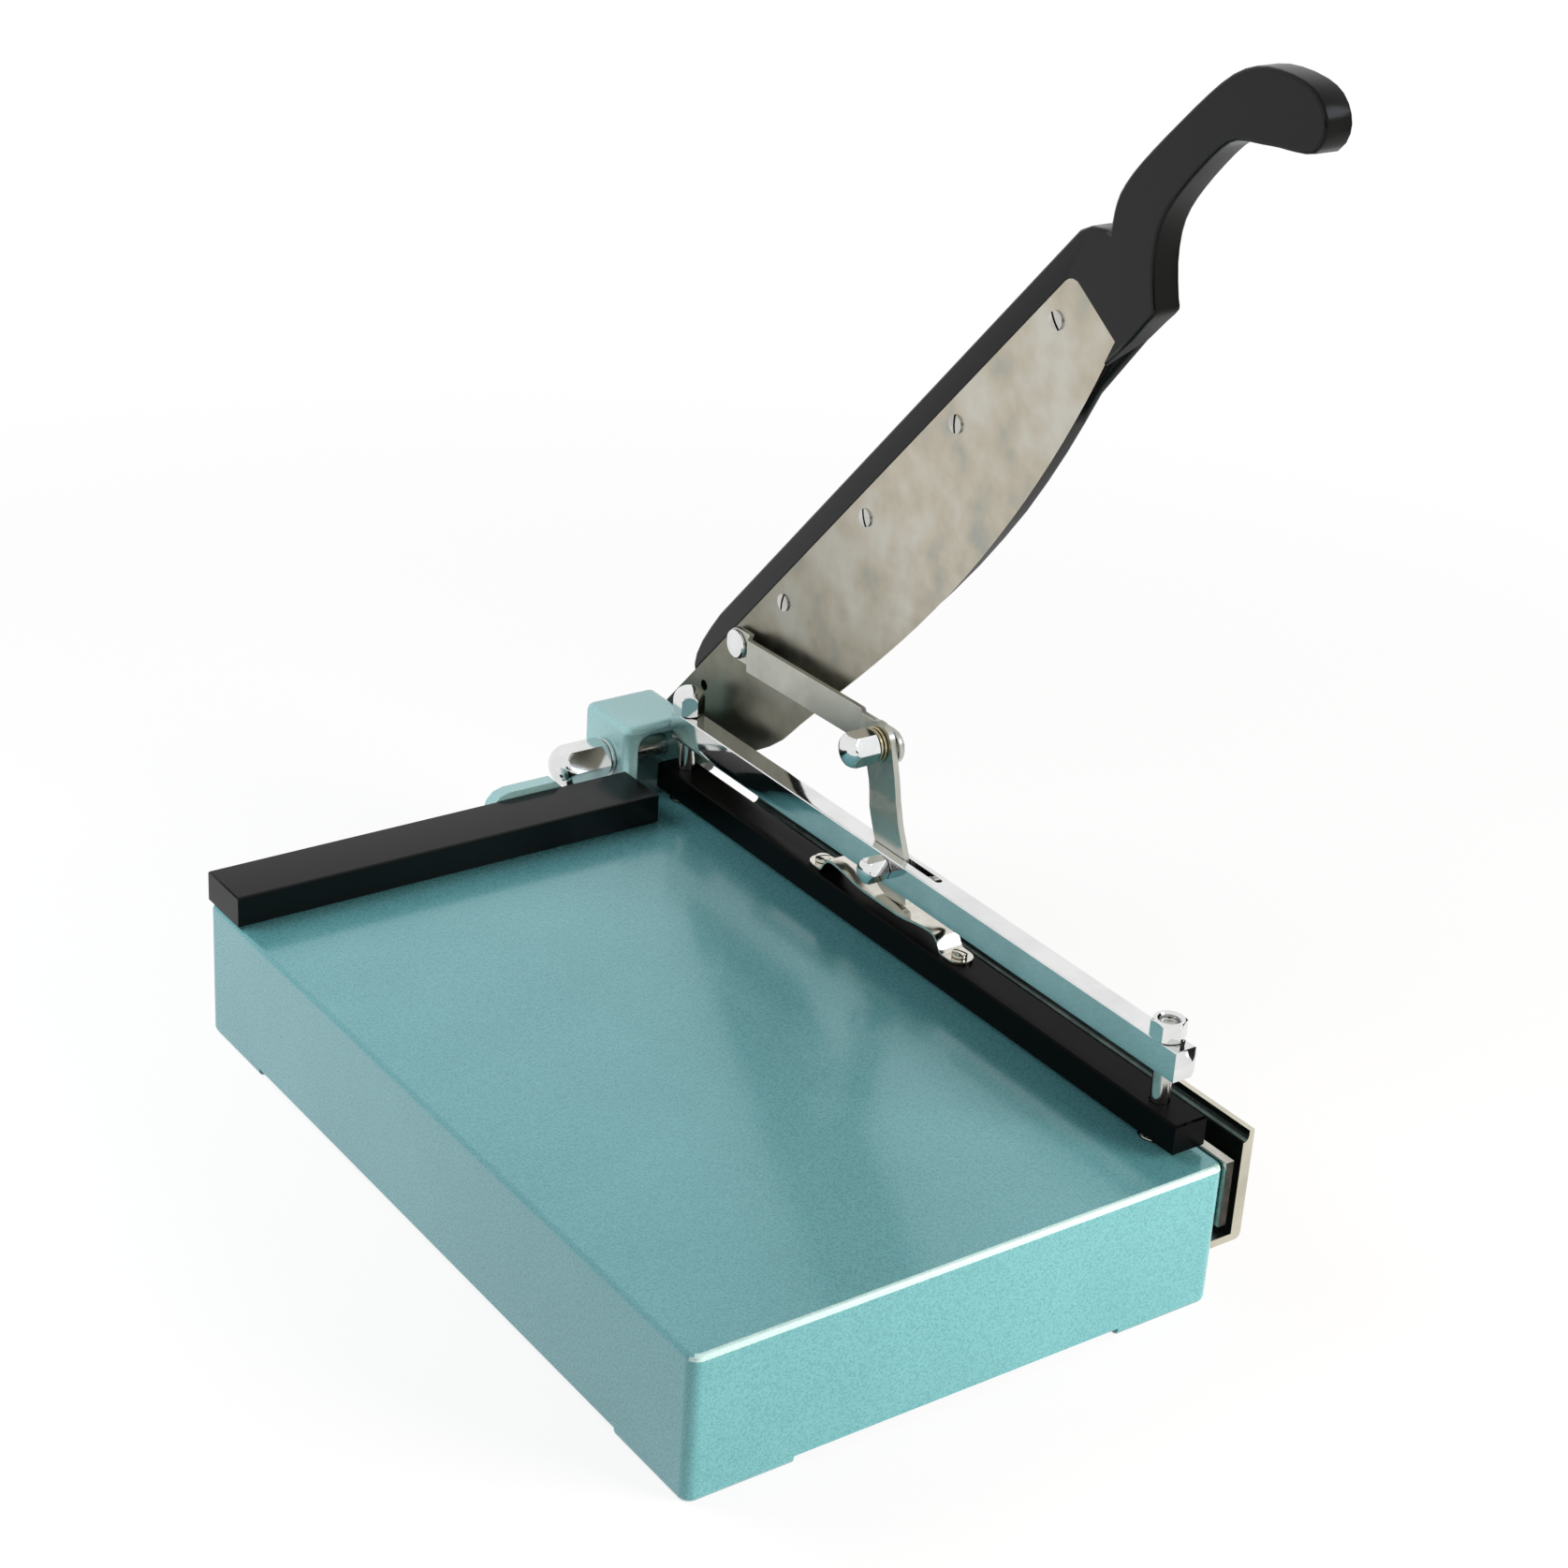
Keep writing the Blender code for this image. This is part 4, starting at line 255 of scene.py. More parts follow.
looks = {
    # Stoved hammer enamel on cast iron: a fine metallic grain under clear gloss, with soft clouds
    "enamel": makeEnamel("hammer_enamel_teal", light="#6aa8ad", dark="#4c8b91", roughness=0.28),
    # The same enamel sprayed thinner on the small casting, so paler and softer in its gloss
    "bracketEnamel": makeEnamel("hammer_enamel_pale_teal", light="#a4cccd", dark="#8ab8b9", roughness=0.36),
    # Paler, glossier enamel on the front edge's rounding: a painted highlight, the bright pale line the
    # rounded edge shows where it catches the light
    "enamelEdgeHighlight": makeEnamel("hammer_enamel_painted_edge_highlight", light="#c3dcd8", dark="#aacdca", roughness=0.24),
    # Satin stoving lacquer on the clamp bar: swallows light, so the bar is a plain black band
    "lacquer": makeLacquer("satin_black_lacquer", "#020202", roughness=0.30, coat=0.0, peel=1.4, shine=0.05),
    # Thick brushed lacquer on the lever's casting: black with a soft sheen and slight orange peel
    "leverLacquer": makeLacquer("thick_black_lacquer", "#070807", roughness=0.22, coat=0.12, peel=1.8,
                                shine=0.2),
    # The same lacquer gathered on the casting's rounded rim, which looks deeper and blacker there
    "rimLacquer": makeLacquer("thick_black_lacquer_rim", "#040403", roughness=0.26, coat=0.05, peel=2.6,
                              shine=0.12),
    # Glossier lacquer on the fence: its flat top picks up a faint grey from the room
    "fenceLacquer": makeLacquer("glossier_black_lacquer", "#040505", roughness=0.20, coat=0.03, peel=1.4,
                                shine=0.13),
    # Surface-ground tool steel: warm grey with handling blotches, and painted shade that darkens it towards
    # the pivot
    "bladeSteel": makeBladeSteel("surface_ground_blade_steel"),
    # Painted shade in a screw's slot: matt and nearly black, so the slot reads as a dark line
    "slotShade": makeLacquer("painted_slot_shade", "#0b0b0a", roughness=0.6, coat=0.0, peel=1.0, shine=0.1),
    # Ground steel of washers, pins, springs and bed knife: light grey and bright, with fine lines
    "groundSteel": makeMetal("ground_steel", light="#c9c6be", dark="#aeaba3", roughness=0.26, patch=14.0,
                             stretch=(0.2, 1, 1)),
    # Painted shade on the bed knife's sawn ends: dull brownish grey with saw lines
    "knifeEnd": makeMetal("shaded_sawn_knife_end", light="#4d4a43", dark="#3a3833", roughness=0.42, patch=4.0,
                          stretch=(1, 1, 0.1)),
    # Cold-rolled strip of the link and riser: satin grey with long rolling lines
    "bandSteel": makeMetal("satin_rolled_strip", light="#c0c1b8", dark="#aeaea4", roughness=0.33, patch=40.0,
                           stretch=(1, 0.1, 0.1), uneven=0.05),
    # Painted shade inside the rail's channel: dark greenish grey
    "railShade": makeMetal("painted_shade_rail_inside", light="#5f6c69", dark="#47524f", roughness=0.34, patch=16.0,
                           stretch=(1, 0.1, 0.1)),
    # Drawn bar of the guide posts and the blade's screws: bright, with lines along its length
    "drawnSteel": makeMetal("drawn_steel_bar", light="#c8c7c2", dark="#b2b0ab", roughness=0.20, patch=9.0,
                            stretch=(1, 1, 0.05)),
    # Nickel plate on the rolled rail: warm, bright and a little soft in what it reflects
    "railSteel": makeMetal("nickel_plated_rail", light="#d3cebd", dark="#c0bcab", roughness=0.20, patch=24.0,
                           stretch=(1, 0.1, 0.1)),
    # Bright chrome plate on nuts and beam: a near mirror, clouded only by slight finger marks
    "chrome": makeMetal("bright_chrome_plate", light="#e6e7e6", dark="#dcdddc", roughness=0.07, patch=22.0,
                        uneven=0.025),
    # Zinc with yellow passivation on the knee's washers: a golden, rather matt metal
    "zincBrass": makeMetal("yellow_passivated_zinc", light="#cfc6ab", dark="#b3a681", roughness=0.30,
                           patch=5.0),
    # Nickel plate on spring strip: warm and shiny, so the bends catch long highlights
    "springSteel": makeMetal("nickel_plated_spring_strip", light="#dedbd2", dark="#cbc7bc", roughness=0.14,
                             patch=16.0, uneven=0.04),
    # Bolt steel blackened in hot oil: dark grey with a dull metallic sheen
    "blackBolt": makeMetal("blackened_bolt_steel", light="#3b3c3e", dark="#2a2b2d", roughness=0.42,
                           patch=6.0),
}
print("materials made:", len(looks))


# Grids, and what every piece gets

axisFrames = {  # across, up and along, for each way that a round piece stands
    "+x": ((0, 0, -1), (0, 1, 0), (1, 0, 0)),
    "-x": ((0, 0, 1), (0, 1, 0), (-1, 0, 0)),
    "+y": ((1, 0, 0), (0, 0, -1), (0, 1, 0)),
    "+z": ((1, 0, 0), (0, 1, 0), (0, 0, 1)),
}
# Merging distances of new grids and of copies, the angle under which faces count as one, and the
# angles past which an edge is sharp, in degrees
meshSizes = dict(mergeNew=0.000001, mergeCopy=0.000002, flat=0.5, roundSharp=32, hexSharp=24, copySharp=50)


def placeOn(base, axis, across, up, along):
    # point = base + across * first direction + up * second direction + along * third direction
    first, second, third = (np.array(d, dtype=float) for d in axisFrames[axis])
    return (np.array(base) + across[..., None] * first + up[..., None] * second
            + along[..., None] * third)


def gridFaces(rows, columns, wrapRows, wrapColumns):
    # Quads between neighbours of a grid of points, joined at the ends where it wraps
    row = np.arange(rows if wrapRows else rows - 1)[:, None]
    column = np.arange(columns if wrapColumns else columns - 1)[None, :]
    nextRow = (row + 1) % rows
    nextColumn = (column + 1) % columns
    corners = (row * columns + column, row * columns + nextColumn,
               nextRow * columns + nextColumn, nextRow * columns + column)
    return np.stack(np.broadcast_arrays(*corners), axis=-1).reshape(-1, 4)


def joinGrids(grids):
    # A grid is its points (rows, columns, 3), whether its rows and columns wrap, and for a slotted
    # head its dark columns of painted slot shade, which leave out the two rows of its foot at each end
    points, faces, shades, count = [], [], [], 0
    for grid, wrapRows, wrapColumns, *darkColumns in grids:
        rows, columns = grid.shape[:2]
        points.append(grid.reshape(-1, 3))
        faces.append(gridFaces(rows, columns, wrapRows, wrapColumns) + count)
        shade = np.zeros((rows - (not wrapRows), columns - (not wrapColumns)), dtype=np.int32)
        if darkColumns:
            shade[2:-2] = darkColumns[0]
        shades.append(shade.ravel())
        count += rows * columns
    return np.vstack(points), np.vstack(faces), np.concatenate(shades)


def addObject(name, data):
    added = bpy.data.objects.new(name, data)
    bpy.context.scene.collection.objects.link(added)
    return added


def finishPiece(name, data, node, sharpAngle):
    # Smooth shading with sharp edges past the angle, and the body and place of the node
    data.shade_smooth()
    data.set_sharp_from_angle(angle=math.radians(sharpAngle))
    piece = addObject(name, data)
    weighted = piece.modifiers.new("even_normals", "WEIGHTED_NORMAL")
    weighted.weight = 100  # large faces stay quite flat
    weighted.keep_sharp = True
    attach(piece, bodyOf[node])
    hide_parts(node)
    return piece


def gridPiece(node, grids, look, sharpAngle=meshSizes["roundSharp"]):
    # A new surface for the node: its grids merged into one mesh whose faces point outward
    points, faces, shades = joinGrids(grids)
    data = bpy.data.meshes.new(node + "_form")
    data.from_pydata(points.tolist(), [], faces.tolist())
    data.materials.append(looks[look])
    # The second look is the painted shade in screw slots
    data.materials.append(looks["slotShade"])
    data.polygons.foreach_set("material_index", shades)
    mesh = bmesh.new()
    mesh.from_mesh(data)
    bmesh.ops.remove_doubles(mesh, verts=mesh.verts[:], dist=meshSizes["mergeNew"])
    bmesh.ops.recalc_face_normals(mesh, faces=mesh.faces[:])
    mesh.to_mesh(data)
    mesh.free()
    return finishPiece(node + "_form", data, node, sharpAngle)


def smoothCopy(node, look, sharpAngle=meshSizes["copySharp"], secondLook="slotShade", picks=None, move=None):
    # The CAD solid's own faces, merged and shaded as rounded: flat faces keep level normals. move
    # gives each vertex its way to go, and picks says which faces take the second look
    data = nodes[node].data.copy()
    data.name = node + "_skin"
    mesh = bmesh.new()
    mesh.from_mesh(data)
    bmesh.ops.remove_doubles(mesh, verts=mesh.verts[:], dist=meshSizes["mergeCopy"])
    bmesh.ops.dissolve_limit(mesh, angle_limit=math.radians(meshSizes["flat"]), verts=mesh.verts[:],
                             edges=mesh.edges[:])
    mesh.to_mesh(data)
    mesh.free()
    data.materials.clear()
    data.materials.append(looks[look])
    data.materials.append(looks[secondLook])
    if move:
        spots = np.empty(len(data.vertices) * 3, dtype=np.float32)
        data.vertices.foreach_get("co", spots)
        spots = spots.reshape(-1, 3)
        data.vertices.foreach_set("co", (spots + move(spots)).ravel())
        data.update()
    if picks:
        normals, centres = np.empty((2, len(data.polygons) * 3), dtype=np.float32)
        data.polygons.foreach_get("normal", normals)
        data.polygons.foreach_get("center", centres)
        chosen = picks(normals.reshape(-1, 3), centres.reshape(-1, 3))
        data.polygons.foreach_set("material_index", chosen.astype(np.int32))
    return finishPiece(node + "_skin", data, node, sharpAngle)


# Nuts, washers and rods, each standing in its node's box

def standing(node, axis):
    # Base point, height and radius of a round piece, from its node's box
    low, high = (np.array(c, dtype=float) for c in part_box(node))
    along = "xyz".index(axis[1])
    base = (low + high) / 2
    base[along] = low[along] if axis[0] == "+" else high[along]
    size = high - low
    return base, size[along], np.delete(size, along).max() / 2


def turned(stations, base, axis, sides=96):
    # Stations of radius, height and corner radius swept round the axis. Where there is a corner
    # radius the section is a hexagon: its reach is the radius over the cosine of the angle from the
    # nearest flat's middle, and never more than the corner radius
    table = np.array([tuple(s) + (0,) * (3 - len(s)) for s in stations], dtype=float)
    radius, height, corner = (column[:, None] for column in table.T)
    angle = np.linspace(0, math.tau, sides, endpoint=False)[None, :]
    sixth = math.pi / 3
    hexagon = radius / np.cos((angle + sixth / 2) % sixth - sixth / 2)
    reach = np.where(corner > 0, np.minimum(corner, hexagon), radius)
    along = np.broadcast_to(height, reach.shape)
    return placeOn(base, axis, reach * np.cos(angle), reach * np.sin(angle), along)


hexShape = dict(face=0.95, coneStart=0.965, coneSlope=math.tan(math.radians(30)), coneRows=7, crownRows=14)


def hexStations(flats, top, crown=0.0):
    # A hexagon whose corners are turned off in a cone, below and above. With a crown an arc closes
    # the top instead: height = top + crown * sin(turn), reach = corner radius * cos(turn)
    half = flats / 2
    corner = half / math.cos(math.pi / 6)
    face = half * hexShape["face"]
    reaches = np.linspace(half * hexShape["coneStart"], corner, hexShape["coneRows"])
    cone = [(rise, reach) for rise, reach in zip((reaches - reaches[0]) * hexShape["coneSlope"], reaches)]
    stations = [(face, 0, face)] + [(half, rise, reach) for rise, reach in cone]
    if crown:
        turns = np.linspace(0, math.pi / 2, hexShape["crownRows"], endpoint=False)
        arc = [(half, top + crown * math.sin(turn), corner * math.cos(turn)) for turn in turns]
        return stations + arc + [(0, top + crown)]
    return stations + [(half, top - rise, reach) for rise, reach in cone[::-1]] + [(face, top, face)]


def threaded(grid, base, axis, pitch, depth, start, stop):
    # A thread on a turned grid: each point moves in by depth * tooth(height / pitch - share of a turn)
    # * fade, where tooth is 1 at the root and 0 at the crest, and fade is 0 at both of its ends
    first, second, third = (np.array(d, dtype=float) for d in axisFrames[axis])
    offset = grid - np.array(base)
    across, up, along = offset @ first, offset @ second, offset @ third
    radius = np.hypot(across, up)
    phase = (along / pitch - np.arctan2(up, across) / math.tau) % 1.0
    tooth = 1 - np.abs(2 * phase - 1)
    fade = np.clip((along - start) / pitch, 0, 1) * np.clip((stop - along) / pitch, 0, 1)
    nearAxis = 1e-7
    keep = np.where(radius > nearAxis, 1 - depth * tooth * fade / np.maximum(radius, nearAxis), 1.0)
    return placeOn(base, axis, across * keep, up * keep, along)


capNuts = {  # width across flats, height of the hexagon under the dome, and the blind bore
    "pivot_cap_nut": dict(axis="-x", flats=0.0175, hexagon=0.0195, bore=0.0053, depth=0.0215),
    "rear_post_cap_nut": dict(axis="+z", flats=0.0130, hexagon=0.0072, bore=0.0043, depth=0.0065),
    "riser_cap_nut": dict(axis="-x", flats=0.0100, hexagon=0.0085, bore=0.0033, depth=0.0085),
    "knee_cap_nut": dict(axis="-x", flats=0.0140, hexagon=0.0100, bore=0.0030, depth=0.0100),
}
for node, sizes in capNuts.items():
    base, height, _ = standing(node, sizes["axis"])
    stations = [(0, sizes["depth"]), (sizes["bore"], sizes["depth"]), (sizes["bore"], 0)]
    stations += hexStations(sizes["flats"], sizes["hexagon"], height - sizes["hexagon"])
    gridPiece(node, [(turned(stations, base, sizes["axis"]), False, True)], "chrome", meshSizes["hexSharp"])

openNuts = {
    "front_post_nut": dict(axis="+z", flats=0.0130, bore=0.0043, pitch=0.00125),
    "pivot_lock_nut": dict(axis="+x", flats=0.0170, bore=0.0053, pitch=0.0015),
}
nutBore = dict(mouth=0.0006, thread=0.0003, rows=90)  # the bore widens by mouth at both of its ends
for node, sizes in openNuts.items():
    base, height, _ = standing(node, sizes["axis"])
    bore, mouth = sizes["bore"], nutBore["mouth"]
    levels = np.linspace(height - mouth, mouth, nutBore["rows"])
    inside = [(bore + mouth, height)] + [(bore, level) for level in levels] + [(bore + mouth, 0)]
    threads = threaded(turned(inside, base, sizes["axis"]), base, sizes["axis"], sizes["pitch"],
                       -nutBore["thread"], mouth, height - mouth)
    outside = turned(hexStations(sizes["flats"], height), base, sizes["axis"])
    gridPiece(node, [(np.concatenate([outside, threads]), True, True)], "chrome", meshSizes["hexSharp"])

washers = {
    "pivot_cap_washer": dict(axis="-x", bore=0.0053, look="chrome"),
    "pivot_inner_washer": dict(axis="+x", bore=0.0053, look="groundSteel"),
    "pivot_outer_washer": dict(axis="+x", bore=0.0053, look="groundSteel"),
    "knee_washer_1": dict(axis="-x", bore=0.0030, look="zincBrass"),
    "knee_washer_2": dict(axis="-x", bore=0.0030, look="zincBrass"),
    "link_collar": dict(axis="+x", bore=0.0043, look="groundSteel"),
}
washerEdge = dict(most=0.00035, share=1 / 3, bend=0.3)  # stamped edges are rounded over this much
for node, sizes in washers.items():
    base, height, radius = standing(node, sizes["axis"])
    edge = min(washerEdge["most"], height * washerEdge["share"])
    bend = edge * washerEdge["bend"]
    stations = [(sizes["bore"], 0), (radius - edge, 0), (radius - bend, bend), (radius, edge),
                (radius, height - edge), (radius - bend, height - bend), (radius - edge, height),
                (sizes["bore"], height)]
    gridPiece(node, [(turned(stations, base, sizes["axis"]), True, True)], sizes["look"])
print("nuts and washers made")

guidePost = dict(axis="+z", look="drawnSteel", chamfer=0.0005, pitch=0.00125, low=0.012, high=0.007)
rods = {  # end chamfer, thread pitch, and the length of thread at each end
    "pivot_shaft": dict(axis="+x", look="groundSteel", chamfer=0.0006, pitch=0.0015, low=0.016, high=0.012),
    "guide_post_front": guidePost,
    "guide_post_rear": guidePost,
    "riser_pin": dict(axis="+x", look="groundSteel", chamfer=0.0004, pitch=0.0008, low=0.008, high=0),
    "beam_cross_pin": dict(axis="+x", look="groundSteel", chamfer=0.0003, pitch=0.0008, low=0, high=0),
}
rodMesh = dict(sides=64, rowsPerTurn=8, thread=0.0004)
for node, sizes in rods.items():
    base, height, radius = standing(node, sizes["axis"])
    chamfer, pitch = sizes["chamfer"], sizes["pitch"]
    lowRows, highRows = (int(sizes[end] / pitch * rodMesh["rowsPerTurn"]) + 2 for end in ("low", "high"))
    lowLevels = np.linspace(chamfer, chamfer + sizes["low"], lowRows)
    highLevels = np.linspace(height - chamfer - sizes["high"], height - chamfer, highRows)
    stations = [(0, 0), (radius - chamfer, 0)]
    stations += [(radius, level) for level in (*lowLevels, *highLevels)]
    stations += [(radius - chamfer, height), (0, height)]
    grid = turned(stations, base, sizes["axis"], rodMesh["sides"])
    if sizes["low"]:
        grid = threaded(grid, base, sizes["axis"], pitch, rodMesh["thread"], 0, lowLevels[-1])
    if sizes["high"]:
        grid = threaded(grid, base, sizes["axis"], pitch, rodMesh["thread"], highLevels[0], height)
    gridPiece(node, [(grid, False, True)], sizes["look"])


# Screws and bolts

headMesh = dict(wallShare=0.03, sideColumns=14, slotColumns=3, rows=33)


def slottedHead(base, axis, radius, rim, crown, slotWidth, slotDepth, turn):
    # Over the disc: height = rim + crown * (1 - (distance / radius)^2), less the slot's depth where the
    # distance from the slot's middle line is under half its width. Columns crowd at the slot's walls
    half = slotWidth / 2
    step = slotWidth * headMesh["wallShare"]
    side = radius * np.cos(np.linspace(math.pi, math.acos(-(half + step) / radius), headMesh["sideColumns"]))
    floor = np.linspace(-half + step, half - step, headMesh["slotColumns"])
    across = np.concatenate([side, [-half], floor, [half], -side[::-1]])
    inSlot = np.abs(across) < half - step / 2
    share = np.linspace(-1, 1, headMesh["rows"])[:, None]
    up = share * np.sqrt(np.maximum(radius ** 2 - across ** 2, 0))[None, :]
    across = np.broadcast_to(across[None, :], up.shape)
    distance = np.hypot(across, up) / radius
    height = rim + crown * (1 - distance ** 2) - np.where(inSlot[None, :], slotDepth, 0)
    grid = np.stack([across, up, height], axis=-1)
    foot = grid[[0, -1]] * np.array([1, 1, 0])
    seam = foot[:1] * np.array([1, 0, 1])
    grid = np.concatenate([seam, foot[:1], grid, foot[1:], seam])
    cosine, sine = math.cos(turn), math.sin(turn)
    x = grid[..., 0] * cosine - grid[..., 1] * sine
    y = grid[..., 0] * sine + grid[..., 1] * cosine
    return placeOn(base, axis, x, y, grid[..., 2]), False, False, inSlot[:-1] | inSlot[1:]


# share is the head's part of the node's radius, sink the height of a countersunk cone, recess how far
# the head's foot lies in that cone, and turns are the slots' angles in degrees
slottedScrews = {
    "blade_screw": dict(
        names=("1", "2", "3", "4"), turns=(80, 112, 95, 128), axis="-x", look="drawnSteel", share=0.84,
        head=0.0012, crown=0.00045, slot=0.0012, depth=0.0007, shank=0.0022, sink=0, recess=0),
    "bed_knife_screw": dict(
        names=("1", "2", "3", "4", "5"), turns=(20, 75, 130, 50, 100), axis="+x", look="blackBolt",
        share=0.97, head=0.0002, crown=0, slot=0.0011, depth=0.0010, shank=0.0025, sink=0.0021,
        recess=0.0012),
    "stop_rail_screw": dict(
        names=("1", "2", "3"), turns=(35, 90, 150), axis="+x", look="blackBolt", share=1,
        head=0.0016, crown=0.0004, slot=0.0010, depth=0.0009, shank=0.0020, sink=0, recess=0),
    "leaf_spring_screw": dict(
        names=("front", "rear"), turns=(25, 70), axis="+z", look="springSteel", share=1,
        head=0.0022, crown=0.0005, slot=0.0010, depth=0.0012, shank=0.0018, sink=0, recess=0),
}
shankSides = 32
for stem, sizes in slottedScrews.items():
    axis, shank = sizes["axis"], sizes["shank"]
    for name, turn in zip(sizes["names"], sizes["turns"]):
        node = f"{stem}_{name}"
        base, height, radius = standing(node, axis)
        top = height - sizes["head"]
        neck = [(shank, top - sizes["sink"]), (radius, top)] if sizes["sink"] else [(shank, top)]
        stations = [(0, 0), (shank, 0), *neck, (0, top)]
        foot = base + np.array(axisFrames[axis][2], dtype=float) * (top - sizes["recess"])
        rim = sizes["head"] - sizes["crown"] + sizes["recess"]
        head = slottedHead(foot, axis, radius * sizes["share"], rim, sizes["crown"], sizes["slot"],
                           sizes["depth"], math.radians(turn))
        gridPiece(node, [(turned(stations, base, axis, shankSides), False, True), head], sizes["look"])

socketBolt = dict(  # ease rounds the head's top edge, and point is the drilled end of the key's hole
    head=0.0080, key=0.0060, depth=0.0040, shank=0.0040, edge=0.0003, ease=0.0006, easeStart=0.3,
    knurlStart=0.001, point=0.0012, knurls=36, knurl=0.00018, sides=144, rows=5,
)
for number in range(1, 5):
    # The head's side is knurled: reach = radius - knurl * (1 + cos(knurls * angle)) / 2
    node = f"bracket_bolt_{number}"
    base, height, radius = standing(node, "+y")
    edge, ease, shank = socketBolt["edge"], socketBolt["ease"], socketBolt["shank"]
    rim = height - socketBolt["head"]
    key = socketBolt["key"] / 2
    corner = key / math.cos(math.pi / 6)
    bottom = height - socketBolt["depth"]
    start = [(0, 0), (shank, 0), (shank, rim), (radius - edge, rim), (radius, rim + edge)]
    levels = np.linspace(rim + socketBolt["knurlStart"], height - ease, socketBolt["rows"])
    turns = np.linspace(socketBolt["easeStart"], math.pi / 2, socketBolt["rows"])
    side = [(radius, level) for level in levels]
    bend = [(radius - ease * (1 - math.cos(turn)), height - ease * (1 - math.sin(turn))) for turn in turns]
    hole = [(corner + edge, height), (key, height - edge, corner), (key, bottom, corner),
            (0, bottom - socketBolt["point"])]
    grid = turned(start + side + bend + hole, base, "+y", socketBolt["sides"])
    angle = np.linspace(0, math.tau, socketBolt["sides"], endpoint=False)
    wave = 1 - socketBolt["knurl"] / radius * (0.5 + 0.5 * np.cos(socketBolt["knurls"] * angle))
    knurled = slice(len(start), len(start) + len(side))
    grid[knurled] = base + (grid[knurled] - base) * np.stack([wave, np.ones_like(wave), wave], axis=-1)
    gridPiece(node, [(grid, False, True)], "blackBolt")

smoothCopy("link_bolt", "chrome", sharpAngle=30)
smoothCopy("knee_stud", "groundSteel", sharpAngle=30)
for number in range(1, 4):
    smoothCopy(f"fence_screw_{number}", "blackBolt", sharpAngle=40)
print("rods and screws made")


# Return springs in the base's wells

springSizes = dict(wire=0.0012, radius=0.0058, turns=6, steps=40, sides=14, sharp=60, travel=0.0022)
for node in ("return_spring_front", "return_spring_rear"):
    # Wire on a helix: centre = radius at the turn's angle, climbing evenly, with the wire's circle
    # square to it. Its ends close in a point
    low, high = (np.array(c, dtype=float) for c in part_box(node))
    middle = (low + high) / 2
    half = springSizes["wire"] / 2
    count = springSizes["turns"] * springSizes["steps"] + 1
    angle = np.linspace(0, math.tau * springSizes["turns"], count)
    climb = np.linspace(low[2] + half, high[2] - half, count)
    slope = math.atan2(climb[-1] - climb[0], math.tau * springSizes["radius"] * springSizes["turns"])
    outward = np.stack([np.cos(angle), np.sin(angle), np.zeros(count)], axis=-1)
    upward = np.stack([np.sin(angle) * math.sin(slope), -np.cos(angle) * math.sin(slope),
                       np.full(count, math.cos(slope))], axis=-1)
    spine = np.stack([np.full(count, middle[0]), np.full(count, middle[1]), climb], axis=-1)
    centre = spine + outward * springSizes["radius"]
    turn = np.linspace(0, math.tau, springSizes["sides"], endpoint=False)[None, :, None]
    reach = np.concatenate([[0.0], np.full(count - 2, half), [0.0]])[:, None, None]
    wire = centre[:, None] + reach * (outward[:, None] * np.cos(turn) + upward[:, None] * np.sin(turn))
    spring = gridPiece(node, [(wire, False, True)], "groundSteel", springSizes["sharp"])
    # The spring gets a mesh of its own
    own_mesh(spring)
print("springs made")


# Flat and cast pieces keep the CAD's own form, but for the lever's rim and the beam's depth

leverEdge = dict(  # start, full and end are distances from the pivot along the lever
    tilt=math.radians(47.3), pivotY=0.1905, pivotZ=0.0790, behind=0.1196, proud=0.0040,
    start=0.16, full=0.30, end=0.372, fade=0.012, deep=0.012,
)
beamForm = dict(bottom=0.0970, deeper=0.0023)
# Limits of the normals' parts that pick faces, and the height of the rail's lip
faceLimits = dict(edgeFront=-0.25, edgeTop=0.25, rim=0.6, wall=-0.5, shelf=0.5, lipHeight=0.0645, sawn=0.9)


def leverRim(spots):
    # Behind the blade the casting's lower edge moves down by proud * share(along) * share(depth), so that
    # its rim shows past the blade's upper belly, as on the real casting
    cosine, sine = math.cos(leverEdge["tilt"]), math.sin(leverEdge["tilt"])
    back, up = leverEdge["pivotY"] - spots[:, 1], spots[:, 2] - leverEdge["pivotZ"]
    along = back * cosine + up * sine
    below = back * sine - up * cosine
    share = np.interp(along, [leverEdge["start"], leverEdge["full"], leverEdge["end"],
                              leverEdge["end"] + leverEdge["fade"]], [0, 1, 1, 0])
    depth = np.clip(below / leverEdge["deep"], 0, 1)
    go = leverEdge["proud"] * share * depth * (spots[:, 0] > leverEdge["behind"])
    return np.stack([np.zeros_like(go), -go * sine, -go * cosine], axis=-1)


def beamDepth(spots):
    # Vertices on the beam's underside move down by deeper
    return np.array([0, 0, -beamForm["deeper"]]) * (spots[:, 2] < beamForm["bottom"])[:, None]


def baseEdge(normals, centres):
    # The rounding between the table and the front, which takes the painted highlight
    return (normals[:, 1] < faceLimits["edgeFront"]) & (normals[:, 2] > faceLimits["edgeTop"])


def leverEdges(normals, centres):
    # The casting's rounded rim: all that doesn't face sideways
    return np.abs(normals[:, 0]) < faceLimits["rim"]


def railInside(normals, centres):
    # The channel's inner wall, and the shelf below its lip, which take the painted shade
    shelf = (normals[:, 2] > faceLimits["shelf"]) & (centres[:, 2] < faceLimits["lipHeight"])
    return (normals[:, 0] < faceLimits["wall"]) | shelf


def knifeEnds(normals, centres):
    # The knife's two sawn ends, which take the painted shade
    return np.abs(normals[:, 1]) > faceLimits["sawn"]


